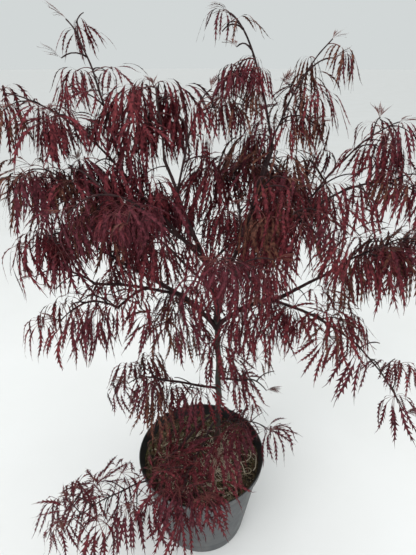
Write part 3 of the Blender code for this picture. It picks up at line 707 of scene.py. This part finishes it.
def lobe(chance, length, turn, opening, droop, lift, curl=(-10, 75), breadth=1.0):
    """One lobe: points, the faces of its bare rib, and the faces of its toothed blade and long tip."""
    line, side = lobe_line(chance, length, turn, opening, droop, lift, curl)
    scale = length / LEAF_LENGTH
    width = np.array(LOBE_WIDTHS)[:, None] * scale
    points = [line + side * width, line - side * width]
    count, last = len(line), len(line) - 1
    rib = [(i, count + i, count + i + 1, i + 1) for i in range(BLADE_START)]
    left, right = [], []
    for first, reach in enumerate(TEETH, BLADE_START):
        foot, step = line[first], line[first + 1] - line[first]
        core = width[first] * (1 - TOOTH_FOOT) + width[first + 1] * TOOTH_FOOT
        start = 2 * count + 4 * (first - BLADE_START)
        for sign in (1, -1):
            points.append([foot + step * TOOTH_FOOT + side[first] * sign * core])
            points.append([foot + step * (1 + chance.uniform(*TOOTH_FORWARD))
                           + side[first] * sign * reach * breadth * scale * chance.uniform(*TOOTH_REACH)])
        left += [first, start, start + 1]
        right += [count + first, start + 2, start + 3]
    blade = []
    for k in range(0, len(TEETH), 2):
        pair, end = slice(3 * k, 3 * k + 6), BLADE_START + k + 2
        blade.append((*right[pair], count + end, end, *left[pair][::-1]))
    blade.append((BLADE_END, count + BLADE_END, count + last - 1, count + last, last, last - 1))
    return np.vstack(points), rib, blade


def whole(lobes):
    """Lobes joined in one leaf: its points, and the corners and sizes of its ribs' and blades' faces."""
    points, ribs, blades, count = [], [], [], 0
    for skin, rib, blade in lobes:
        points.append(skin)
        ribs += [tuple(corner + count for corner in face) for face in rib]
        blades += [tuple(corner + count for corner in face) for face in blade]
        count += len(skin)
    return np.vstack(points), face_arrays(ribs), face_arrays(blades)


def leaf_shape(chance, kind):
    """A whole leaf from its hub, with the stalk's end at the origin and +X ahead."""
    opening, droop = chance.uniform(*kind.opening), chance.uniform(*kind.droop)
    lobes, fan = chance.choice(kind.lobes), chance.uniform(*FAN)
    made = []
    for i in range(lobes):
        across = 2 * i / (lobes - 1) - 1
        length = LEAF_LENGTH * (1 - OUTER_LOSS * abs(across) ** 1.6) * chance.uniform(*LOBE_LENGTHS)
        made.append(lobe(chance, length, fan * across + chance.uniform(-9, 9),
                         opening * chance.uniform(0.8, 1.25), -droop + chance.uniform(-6, 12),
                         chance.uniform(*LOBE_LIFT), kind.curl, kind.breadth))
    return whole(made)


def young_shape(chance):
    """A folded young leaf: a few narrow lobes close together, pointing ahead and nodding."""
    nod = chance.uniform(-50, 10)
    return whole([lobe(chance, LEAF_LENGTH * chance.uniform(0.32, 0.5), (i - 2) * 7, 1.0,
                       nod + chance.uniform(-8, 8), chance.uniform(20, 34)) for i in range(5)])


def turned(points, heading, tilt=0.0, roll=0.0):
    """Points turned by a roll about +X, a tilt up from level, then a heading about +Z."""
    for degrees, first, second in ((roll, 1, 2), (tilt, 0, 2), (heading, 0, 1)):
        c, s = cos(radians(degrees)), sin(radians(degrees))
        moved = points.copy()
        moved[:, first] = points[:, first] * c - points[:, second] * s
        moved[:, second] = points[:, first] * s + points[:, second] * c
        points = moved
    return points


# ---- growth

def side_shoots(leading, spread, chance):
    """Side shoots by turns left and right of the leading shoot, shorter towards its tip."""
    count = max(2, round(SIDES_PER_SPREAD * hypot(leading.reach, leading.rise) / spread))
    side = chance.choice((-1, 1))
    for i in range(count):
        t = SIDE_START + SIDE_SPAN * i / count
        reach = spread * chance.uniform(*SIDE_REACH) * (1 - SIDE_TAPER * t)
        heading = leading.heading + side * (SIDE_ANGLE + chance.uniform(-SIDE_SWING, SIDE_SWING))
        rise = reach * chance.uniform(*SIDE_LIFT)
        yield Stem(leading.at(t), 0, heading, reach, rise, SIDE_ARCH * reach, 0, *SIDE_RADII)
        side = -side


def fine_twigs(shoot, spacing, reaches, chance, start):
    """Short twigs by turns left and right along a shoot or bough."""
    count = int(shoot.length * (1 - start) / spacing)
    side = chance.choice((-1, 1))
    for i in range(count):
        t = start + (TWIG_END - start) * (i + chance.uniform(0.2, 0.8)) / count
        reach = chance.uniform(*reaches)
        heading = shoot.heading + side * chance.uniform(*TWIG_ANGLES)
        rise = reach * chance.uniform(*TWIG_LIFT)
        yield Stem(shoot.at(t), 0, heading, reach, rise, reach * TWIG_ARCH, 0, *TWIG_RADII)
        side = -side


def leaves_on(shoot, usual, chance):
    """Opposite pairs of leaves along a shoot and one at its tip, each by its joint, heading and size."""
    def leaf(t, heading, sizes):
        joint = shoot.at(t)
        beside = float(np.interp(joint.y, *zip(*SIZE_BY_DEPTH)) * np.interp(joint.z, *zip(*SIZE_BY_HEIGHT)))
        return joint, heading, usual * beside * chance.uniform(*sizes)

    pairs = max(1, round(hypot(shoot.reach, shoot.rise) / LEAF_SPACING))
    for i in range(pairs):
        for side in (-1, 1):
            heading = shoot.heading + side * (LEAF_ANGLE + chance.uniform(-LEAF_SWING, LEAF_SWING))
            yield leaf((i + LEAF_START) / pairs, heading, LEAF_SIZES)
    yield leaf(TIP_LEAF, shoot.heading + chance.uniform(-LEAF_SWING, LEAF_SWING), TIP_LEAF_SIZES)


def clears_pot(points):
    """Whether no point lies in the pot's wall, the compost or the floor."""
    level, high = np.hypot(points[:, 0], points[:, 1]), points[:, 2]
    inner = inner_radius(high) + POT_WALL - 0.004
    in_wall = (high < POT_HEIGHT + 0.001) & (level < POT_RIM_RADIUS + 0.001) & (level > inner)
    in_compost = (high < COMPOST_TOP + 0.002) & (level < inner + 0.002)
    return not (in_wall.any() or in_compost.any() or (high < 0.004).any())


class Room:
    """The room round a stem that its mass's leaves keep to, and their habit."""

    def __init__(self, name, stem, places, spread, habit):
        self.middles = np.array([stem.at(t) - UP * HANG for t in places])
        self.spread, self.habit = spread, habit
        self.inner = any(word in name for word in INNER_WORDS)

    def farthest(self, points):
        """How far the points reach from the middles."""
        return np.linalg.norm(self.middles[:, None] - points[None], axis=2).min(axis=0).max()

    def share_at(self, joint):
        """How full of leaves it is there beside its middle: its underside more, its top less."""
        if joint.z > BARE_HEIGHT:
            return self.habit.bare
        nearest = self.middles[np.linalg.norm(self.middles - np.array(joint), axis=1).argmin()]
        above = (joint.z - nearest[2] - HANG) / self.spread
        return min(UNDER_LIMITS[1], max(UNDER_LIMITS[0], 1 - UNDER_LEAN * above))


class Crown:
    """The leaves, stalks and twigs of one part of the crown, as they grow."""

    def __init__(self, shapes, young):
        self.shapes, self.young = shapes, young
        self.leaves = {tint: Joined() for tint in TINTS}
        self.folded, self.stalks, self.twigs = Joined(), Joined(), Joined()

    def add_twig(self, shoot, phase):
        """A twig with its slight zigzag, and swellings where its leaves stand."""
        places = np.linspace(0, 1, max(4, round(shoot.length / TWIG_RING)) + 1)
        line = np.array([shoot.at(t) for t in places])
        sway = ZIGZAG * np.sin(places * shoot.length / ZIGZAG_STEP + phase) * np.minimum(1, places * 4)
        line += np.array(way(shoot.heading + 90)) * sway[:, None]
        knots = 1 + KNOT * np.maximum(0, np.cos(places * shoot.length / LEAF_SPACING * 2 * pi)) ** 12
        self.twigs.add(*tube(line, shoot.radius(places) * knots, 6))

    def add_leaf(self, joint, heading, size, tint, room, chance):
        """A leaf on its stalk, if it keeps to its room and clear of pot and floor; tells if it does."""
        stalk = chance.uniform(*STALKS) * size
        hub = joint + (way(heading) + UP * chance.uniform(*STALK_LIFT)) * stalk
        if room.farthest(np.array([hub])) > room.spread * HUB_LIMIT:
            return False
        region = "low" if joint.z < LOW_TO else "near" if joint.y < NEAR_TO else \
            "middle" if joint.z < MIDDLE_TO else "high"
        kind = "spreading" if chance.random() < room.habit.openness else "hanging"
        points, ribs, blades = chance.choice(self.shapes[kind, region])
        skin = turned(points, heading, chance.uniform(*LEAF_TILT), chance.uniform(*LEAF_ROLL)) * size
        skin = skin + np.array(hub)
        if room.farthest(skin[::4]) > room.spread + LEAF_OVERHANG:
            return False
        low, high = (np.array(corner) for corner in CAD_BOX)
        if (skin < low - PROUD).any() or (skin > high + PROUD).any() or not clears_pot(skin):
            return False
        self.leaves[tint].add(skin, *blades)
        self.stalks.add(skin, *ribs)
        arch = UP * stalk * 0.12
        line = [joint.lerp(hub, t) + arch * 4 * t * (1 - t) for t in (0, 0.25, 0.5, 0.75, 1)]
        self.stalks.add(*tube(line, STALK_RADII, 4))
        return True

    def add_young(self, shoot, room, chance):
        """A pair of folded leaves at a growing tip."""
        for side in (-1, 1):
            points, ribs, blades = chance.choice(self.young)
            skin = turned(points, shoot.heading + side * chance.uniform(8, 34), chance.uniform(-6, 26))
            skin = skin * chance.uniform(0.55, 0.85) + np.array(shoot.at(1))
            if room.farthest(skin) < room.spread:
                self.folded.add(skin, *blades)
                self.folded.add(skin, *ribs)

    def add_spray(self, shoot, room, chance, share=1.0, kept_bare=False):
        """One shoot with its leaves, all of one tint; one that bears none is left out unless it's kept."""
        weights = [part * (INNER_TINTS.get(tint, 1) if room.inner else 1)
                   for tint, (_, _, part) in TINTS.items()]
        tint = chance.choices(list(TINTS), weights)[0]
        phase = chance.uniform(0, 2 * pi)
        share *= room.habit.fullness
        bears = kept_bare
        for joint, heading, size in leaves_on(shoot, room.habit.size, chance):
            drawn, own = chance.random(), random.Random(chance.random())
            if drawn < share * room.share_at(joint):
                bears = self.add_leaf(joint, heading, size, tint, room, own) or bears
        if bears:
            self.add_twig(shoot, phase)

    def add_twigs(self, shoot, spacing, reaches, room, chance, start):
        for twig in fine_twigs(shoot, spacing, reaches, chance, start):
            self.add_spray(twig, room, chance)

    def grow_mass(self, name, leading, spread, habit):
        chance = random.Random(name)
        leading = Stem(*leading)
        room = Room(name, leading, (0.1, 0.4, 0.7, 1.0), spread, habit)
        self.add_spray(leading, room, chance, habit.leading, kept_bare=True)
        self.add_young(leading, room, chance)
        for shoot in side_shoots(leading, spread, chance):
            self.add_spray(shoot, room, chance, kept_bare=True)
            if chance.random() < YOUNG_TIPS:
                self.add_young(shoot, room, chance)
            self.add_twigs(shoot, TWIG_SPACING, TWIG_REACH, room, chance, 0.3)
        self.add_twigs(leading, TWIG_SPACING, TWIG_REACH, room, chance, 0.15)

    def grow_spurs(self, name, habit):
        """Short leafy spurs along a bough."""
        chance = random.Random(name + " spurs")
        room = Room(name, LIMBS[name], np.linspace(0, 1, 6), SPUR_SPREAD, habit)
        start = TRUNK_SPUR_START if name == "trunk" else SPUR_START
        self.add_twigs(LIMBS[name], SPUR_SPACING, SPUR_REACH, room, chance, start)


def grow_crown(bark):
    """Every part of the crown; each piece rides on the plant and stands for that part's masses."""
    chance = random.Random("leaf shapes")
    shapes = {name: [leaf_shape(chance, kind) for _ in range(LEAF_SHAPES)]
              for name, kind in LEAF_KINDS.items()}
    young = [young_shape(chance) for _ in range(YOUNG_SHAPES)]
    finishes = {tint: leaf_finish(tint) for tint in TINTS}
    folded, stalk = young_finish(), stalk_finish()
    for part, masses in MASSES.items():
        crown = Crown(shapes, young)
        nodes = ["foliage_" + mass for mass in masses]
        for node, mass in zip(nodes, masses.values()):
            crown.grow_mass(node, *mass)
        for limb, habit in SPURS[part].items():
            crown.grow_spurs(limb, habit)
        pieces = [(crown.leaves[tint], f"leaves_{tint}_{part}", finishes[tint], "foliage") for tint in TINTS]
        pieces += [(crown.folded, f"young_leaves_{part}", folded, "foliage"),
                   (crown.stalks, f"leaf_stalks_{part}", stalk, "foliage"),
                   (crown.twigs, f"twigs_{part}", bark, "young_bark")]
        for joined, name, finish, slot in pieces:
            if joined.count:
                piece = joined.make(name, finish)
                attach(piece, "root")
                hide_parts(*nodes)


# ---- trunk and boughs

def bark_radius(name, t, turn, place):
    """The radius of a limb with its taper, collar, nodes, ridges and small lenticels."""
    stem = LIMBS[name]
    along = t * stem.length
    radius = stem.radius(t)
    if name == "trunk":
        roots = 1 + 0.22 * cos(3 * turn + 0.8) + 0.12 * cos(5 * turn)
        radius += FLARE_RADIUS * roots * exp(-along / FLARE_HEIGHT)
    else:
        radius += COLLAR * stem.thick * exp(-max(0.0, along - stem.thick) / COLLAR_HEIGHT)
    radius *= 1 + NODE_SWELL * max(0.0, cos(along / NODE_STEP * 2 * pi + len(name))) ** 18
    ridges = noise.fractal(Vector((place.x * 260, place.y * 260, place.z * 45)), 1.0, 2.0, 3)
    pores = noise.noise(Vector((place.x * 420, place.y * 420, place.z * 700)))
    return radius + RIDGE_HEIGHT * ridges + PORE_HEIGHT * max(0.0, pores - 0.25)


def ringed_stick(name, sides, rings):
    """A straight upright stick of unit length and radius, cut into rings."""
    deselect()
    bpy.ops.mesh.primitive_cylinder_add(vertices=sides, radius=1, depth=1, location=(0, 0, 0.5))
    piece = named(name)
    bpy.ops.object.transform_apply(location=True)
    bpy.ops.object.mode_set(mode="EDIT")
    bpy.ops.mesh.select_mode(type="EDGE")
    bpy.ops.mesh.select_all(action="DESELECT")
    bpy.ops.object.mode_set(mode="OBJECT")
    for edge in piece.data.edges:
        low, high = (piece.data.vertices[corner].co.z for corner in edge.vertices)
        edge.select = abs(high - low) > 0.5
    bpy.ops.object.mode_set(mode="EDIT")
    bpy.ops.mesh.subdivide(number_cuts=rings - 1)
    bpy.ops.object.mode_set(mode="OBJECT")
    return piece


def limb_piece(name):
    """A limb: a stick laid along its line, with its bark in relief."""
    stem = LIMBS[name]
    rings = max(12, round(stem.length / LIMB_RING))
    piece = ringed_stick("bark_" + name, TRUNK_SIDES if name == "trunk" else BOUGH_SIDES, rings)
    phase = random.Random(name).uniform(0, 6.3)
    for vert in piece.data.vertices:
        t, turn = vert.co.z, atan2(vert.co.y, vert.co.x)
        along = (stem.at(t + 0.01) - stem.at(t - 0.01)).normalized()
        side = along.cross(way(stem.heading) if abs(along.z) > 0.8 else UP).normalized()
        sway = LIMB_SWAY * sin(t * stem.length / SWAY_STEP + phase) * min(1.0, 5 * t) * min(1.0, 5 * (1 - t))
        outward = side * cos(turn) + side.cross(along) * sin(turn)
        axis = stem.at(t) + side * sway
        vert.co = axis + outward * bark_radius(name, t, turn, axis + outward * stem.thick)
    face_outwards(piece)
    smooth(piece, 60)
    return piece


def make_limbs(trunk_bark, bough_bark):
    trunk = limb_piece("trunk")
    trunk.data.materials.append(trunk_bark)
    boughs = [name for name in LIMBS if name != "trunk"]
    bark = join([limb_piece(name) for name in boughs], "boughs_bark")
    bark.data.materials.append(bough_bark)
    for piece, nodes, slot in ((trunk, ["trunk"], "bark"), (bark, boughs, "young_bark")):
        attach(piece, "root")
        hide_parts(*nodes)


# ---- pot

def inner_radius(height):
    """The radius of the pot's inner wall at a height."""
    return POT_FOOT_RADIUS - POT_WALL + (POT_NECK_RADIUS - POT_FOOT_RADIUS) * height / (POT_HEIGHT - RIM_BAND)


def outside_at(*heights, sunk=0.0):
    """Points of (radius, height) on the pot's outer wall, or a little under its skin."""
    return [(inner_radius(height) + POT_WALL - sunk, height) for height in heights]


def inside_at(*heights):
    return [(inner_radius(height), height) for height in heights]


def arc(radius, height, size, start, end, steps=5):
    """Points of (radius, height) round a quarter or half turn."""
    turns = [radians(start + (end - start) * i / steps) for i in range(steps + 1)]
    return [(radius + size * cos(turn), height + size * sin(turn)) for turn in turns]


def drill(piece, x, y):
    """A drain hole through the pot's floor."""
    deselect()
    bpy.ops.mesh.primitive_cylinder_add(vertices=32, radius=DRAIN_RADIUS, depth=4 * POT_FLOOR,
                                        location=(x, y, 0))
    tool = bpy.context.object
    cut = piece.modifiers.new("drain", "BOOLEAN")
    cut.operation = "DIFFERENCE"
    cut.object = tool
    choose(piece)
    bpy.ops.object.modifier_apply(modifier=cut.name)
    bpy.data.objects.remove(tool)


def make_pot(wall, rim_and_inside_shade):
    """The pot, turned in one shell: recessed underside, tapering wall, stepped band, rolled lip, inside."""
    neck = POT_HEIGHT - RIM_BAND
    foot = [(POLE, 0.0022), (0.06, 0.0022), (0.066, 0.0008), (0.086, 0.0008), (0.088, 0.0)]
    foot += arc(POT_FOOT_RADIUS - 0.003, 0.003, 0.003, -90, 0)
    outside = outside_at(0.01, 0.028) + outside_at(0.03, sunk=0.0004)
    outside += outside_at(0.032, 0.07, 0.12, 0.16, 0.188, neck - 0.006) + [(POT_NECK_RADIUS, neck - 0.001)]
    outside += [(POT_RIM_RADIUS - sunk, height) for sunk, height in (
        (0.0024, neck), (0.0015, neck + 0.001), (0.0011, POT_HEIGHT - 0.0042), (0.0007, POT_HEIGHT - 0.003))]
    top = arc(POT_RIM_RADIUS - LIP, POT_HEIGHT - LIP, LIP, 0, 180, 8)
    inside = [(POT_RIM_RADIUS - 2 * LIP, POT_HEIGHT - 0.004), (inner_radius(neck), neck - 0.002)]
    inside += inside_at(0.15, 0.1, 0.05, POT_FLOOR) + [(POLE, POT_FLOOR)]
    pot = turn_shell("nursery_pot", foot + outside + top + inside, POT_SIDES)
    for i in range(DRAIN_HOLES):
        x, y, _ = way(360 * i / DRAIN_HOLES) * DRAIN_CIRCLE
        drill(pot, x, y)
    smooth(pot, 50)
    pot.data.materials.append(wall)
    pot.data.materials.append(rim_and_inside_shade)
    # The top edge and the inner wall take the second finish, near-black painted shade.
    for face in pot.data.polygons:
        outward = face.center.x * face.normal.x + face.center.y * face.normal.y
        if face.center.z > POT_HEIGHT - 0.0034 or (outward < 0 and face.center.z > 0.02):
            face.material_index = 1
    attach(pot, "root")
    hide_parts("pot")


# ---- compost and what lies on it

def ground(x, y):
    """The height of the compost: lumpy, lower at the edge, and heaped a little round the trunk."""
    level = hypot(x, y)
    near = hypot(x - TRUNK_FOOT.x, y - TRUNK_FOOT.y)
    lumps = noise.fractal(Vector((x * LUMPS_PER_METRE, y * LUMPS_PER_METRE, 1.7)), 1.0, 2.0, 5) * LUMP_HEIGHT
    heap = HEAP_HEIGHT * exp(-(near / HEAP_RADIUS) ** 2)
    return COMPOST_TOP + lumps + heap - COMPOST_DROP * (level / 0.125) ** 4


def make_compost(finish):
    foot, edge = POT_FLOOR + COMPOST_GAP, inner_radius(COMPOST_EDGE) - COMPOST_GAP
    rings = [(edge * (1 - i / COMPOST_RINGS), COMPOST_EDGE) for i in range(COMPOST_RINGS)]
    profile = [(POLE, foot), (inner_radius(POT_FLOOR) - COMPOST_GAP, foot)] + rings
    bed = turn_shell("compost_bed", profile, COMPOST_SIDES)
    for vert in bed.data.vertices:
        if vert.co.z > COMPOST_EDGE - 0.001:
            vert.co.z = ground(vert.co.x, vert.co.y)
    smooth(bed, 80)
    bed.data.materials.append(finish)
    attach(bed, "root")
    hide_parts("compost")


def lay_litter(name, joined):
    """A piece of what lies on the compost."""
    stops = list(zip((0.25, 0.75), LITTER[name]))
    piece = joined.make(name, plain_finish(name, 0.88, 0.2, 160, 6, stops, (900, 6, 0.8, 0.001)))
    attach(piece, "root")
    return piece


def place_on_compost(chance, limit):
    """A random place on the compost, clear of the trunk."""
    while True:
        x, y = chance.uniform(-limit, limit), chance.uniform(-limit, limit)
        if hypot(x, y) < limit and hypot(x - TRUNK_FOOT.x, y - TRUNK_FOOT.y) > TRUNK_GAP:
            return x, y


def make_crumbs():
    """Bark chips, fibre and lumps: bent eight-faced stones and flakes, in three colours."""
    chance = random.Random("crumbs")
    corners = np.array([(1, 0, 0), (-1, 0, 0), (0, 1, 0), (0, -1, 0), (0, 0, 1), (0, 0, -1)], float)
    faces = face_arrays([(0, 2, 4), (2, 1, 4), (1, 3, 4), (3, 0, 4),
                         (2, 0, 5), (1, 2, 5), (3, 1, 5), (0, 3, 5)])
    heaps = {name: Joined() for name in ("dark_crumbs", "bark_crumbs", "pale_crumbs")}
    for _ in range(CRUMBS):
        x, y = place_on_compost(chance, CRUMB_LIMIT)
        size = CRUMB_SIZE + CRUMB_EXTRA * chance.random() ** 3
        flake = chance.random() < FLAKES
        shape = corners * [size * (2.2 if flake else 1.1), size, size * (0.35 if flake else 0.8)]
        shape = shape + np.array([[chance.uniform(-0.3, 0.3) * size for _ in range(3)] for _ in range(6)])
        shape = turned(shape, chance.uniform(0, 360), chance.uniform(-35, 35), chance.uniform(-35, 35))
        name = chance.choices(list(heaps), (5, 3, 1.2))[0]
        heaps[name].add(shape + np.array((x, y, ground(x, y) + size * 0.25)), *faces)
    for name, heap in heaps.items():
        lay_litter(name, heap).data.shade_flat()


def make_moss():
    """Tufts of short curled blades, in patches, some green and some dried tan."""
    chance = random.Random("moss")
    beds = {name: Joined() for name in ("green_moss", "dry_moss")}
    for _ in range(MOSS_TUFTS):
        x, y = place_on_compost(chance, MOSS_LIMIT)
        if noise.noise(Vector((x * 30, y * 30, 9.0))) < -0.12:
            continue
        name = chance.choices(list(beds), (3, 2))[0]
        for _ in range(chance.randint(*MOSS_BLADES)):
            heading, length = chance.uniform(0, 360), chance.uniform(*BLADE_LENGTHS)
            foot = Vector((x + chance.gauss(0, TUFT_SPREAD), y + chance.gauss(0, TUFT_SPREAD), 0))
            foot.z = ground(foot.x, foot.y)
            ahead, lift, curl = way(heading), chance.uniform(0.3, 1.1), chance.uniform(0.3, 1.2)
            line = [foot + ahead * length * t + UP * length * (lift * t - curl * t * t)
                    for t in (0, 0.35, 0.7, 1)]
            line = [point if point.z > ground(point.x, point.y) else
                    Vector((point.x, point.y, ground(point.x, point.y) + 0.0004)) for point in line]
            beds[name].add(*tube(line, BLADE_RADII, 3))
    for name, bed in beds.items():
        lay_litter(name, bed)


def make_straw():
    """Dead grass stalks lying by the trunk, and a few pale roots that curl out of the compost."""
    chance = random.Random("straw")
    stalks, curls = Joined(), Joined()
    for _ in range(STRAWS):
        gathered = chance.random() < GATHERED
        if gathered:
            x, y = TRUNK_FOOT.x + chance.gauss(0.006, 0.018), TRUNK_FOOT.y - 0.052 + chance.gauss(0, 0.026)
        else:
            x, y = place_on_compost(chance, SCATTER_LIMIT)
        heading = chance.gauss(-75, 38) if gathered else chance.uniform(0, 360)
        length = chance.uniform(*STRAW_LENGTHS)
        bend, lift = chance.uniform(-0.35, 0.35), chance.uniform(0.0, 0.01)
        ahead, left = way(heading), way(heading + 90)
        line = []
        for i in range(8):
            t = i / 7
            point = Vector((x, y, 0)) + ahead * length * (t - 0.5) + left * length * bend * 4 * t * (1 - t)
            level = hypot(point.x, point.y)
            if level > STRAW_LIMIT:
                point *= STRAW_LIMIT / level
            point.z = ground(point.x, point.y) + 0.0011 + lift * sin(t * pi) ** 2
            line.append(point)
        thick = chance.uniform(*STRAW_RADII)
        stalks.add(*tube(line, [thick] * 7 + [thick * 0.3], 5))
    for x, y in PALE_ROOTS:
        size, start = chance.uniform(0.006, 0.01), chance.uniform(0, 6.3)
        line = []
        for i in range(18):
            turn = start + i / 17 * chance.uniform(4.6, 5.0)
            point = Vector((x + size * cos(turn), y + size * 0.8 * sin(turn), 0))
            point.z = ground(point.x, point.y) + 0.0012 + 0.0045 * sin(i / 17 * pi)
            line.append(point)
        curls.add(*tube(line, np.linspace(0.0011, 0.0005, 18), 6))
    lay_litter("dead_grass", stalks)
    lay_litter("pale_roots", curls)


# ---- studio

def make_studio():
    """A plain pale floor, soft light from above and in front, and the camera."""
    deselect()
    bpy.ops.mesh.primitive_circle_add(vertices=128, radius=40, fill_type="NGON", location=(0, 0, 0))
    floor = named("studio_floor")
    stops = [(0.3, (0.8, 0.8, 0.79)), (0.7, (0.83, 0.83, 0.825))]
    floor.data.materials.append(plain_finish("studio_floor", 0.75, 0.2, 3, 4, stops))

    scene = bpy.context.scene
    scene.world = scene.world or bpy.data.worlds.new("studio")
    scene.world.use_nodes = True
    sky = scene.world.node_tree.nodes["Background"]
    sky.inputs["Color"].default_value = SKY_COLOUR
    sky.inputs["Strength"].default_value = 1.0

    for name, kind, place, power, size in LAMPS:
        lamp = bpy.data.lights.new(name, kind)
        lamp.energy = power
        if kind == "SUN":
            lamp.angle = radians(size)
        else:
            lamp.size = size
        light = bpy.data.objects.new(name, lamp)
        light.location = place
        light.rotation_euler = (LAMP_AIM - Vector(place)).to_track_quat("-Z", "Y").to_euler()
        scene.collection.objects.link(light)

    lens = bpy.data.cameras.new("camera")
    lens.sensor_width = SENSOR
    lens.lens = SENSOR * FOCAL_PIXELS / FRAME_PIXELS
    camera = bpy.data.objects.new("camera", lens)
    camera.location = CAMERA_PLACE
    camera.rotation_euler = (radians(90 - CAMERA_PITCH), 0, 0)
    scene.collection.objects.link(camera)
    scene.camera = camera
    scene.view_settings.view_transform = "Standard"


def main():
    make_studio()
    bough_bark = twig_finish()
    make_limbs(trunk_finish(), bough_bark)
    make_pot(pot_finish(), rim_and_inside_shade_finish())
    make_compost(compost_finish())
    make_crumbs()
    make_moss()
    make_straw()
    grow_crown(bough_bark)


main()
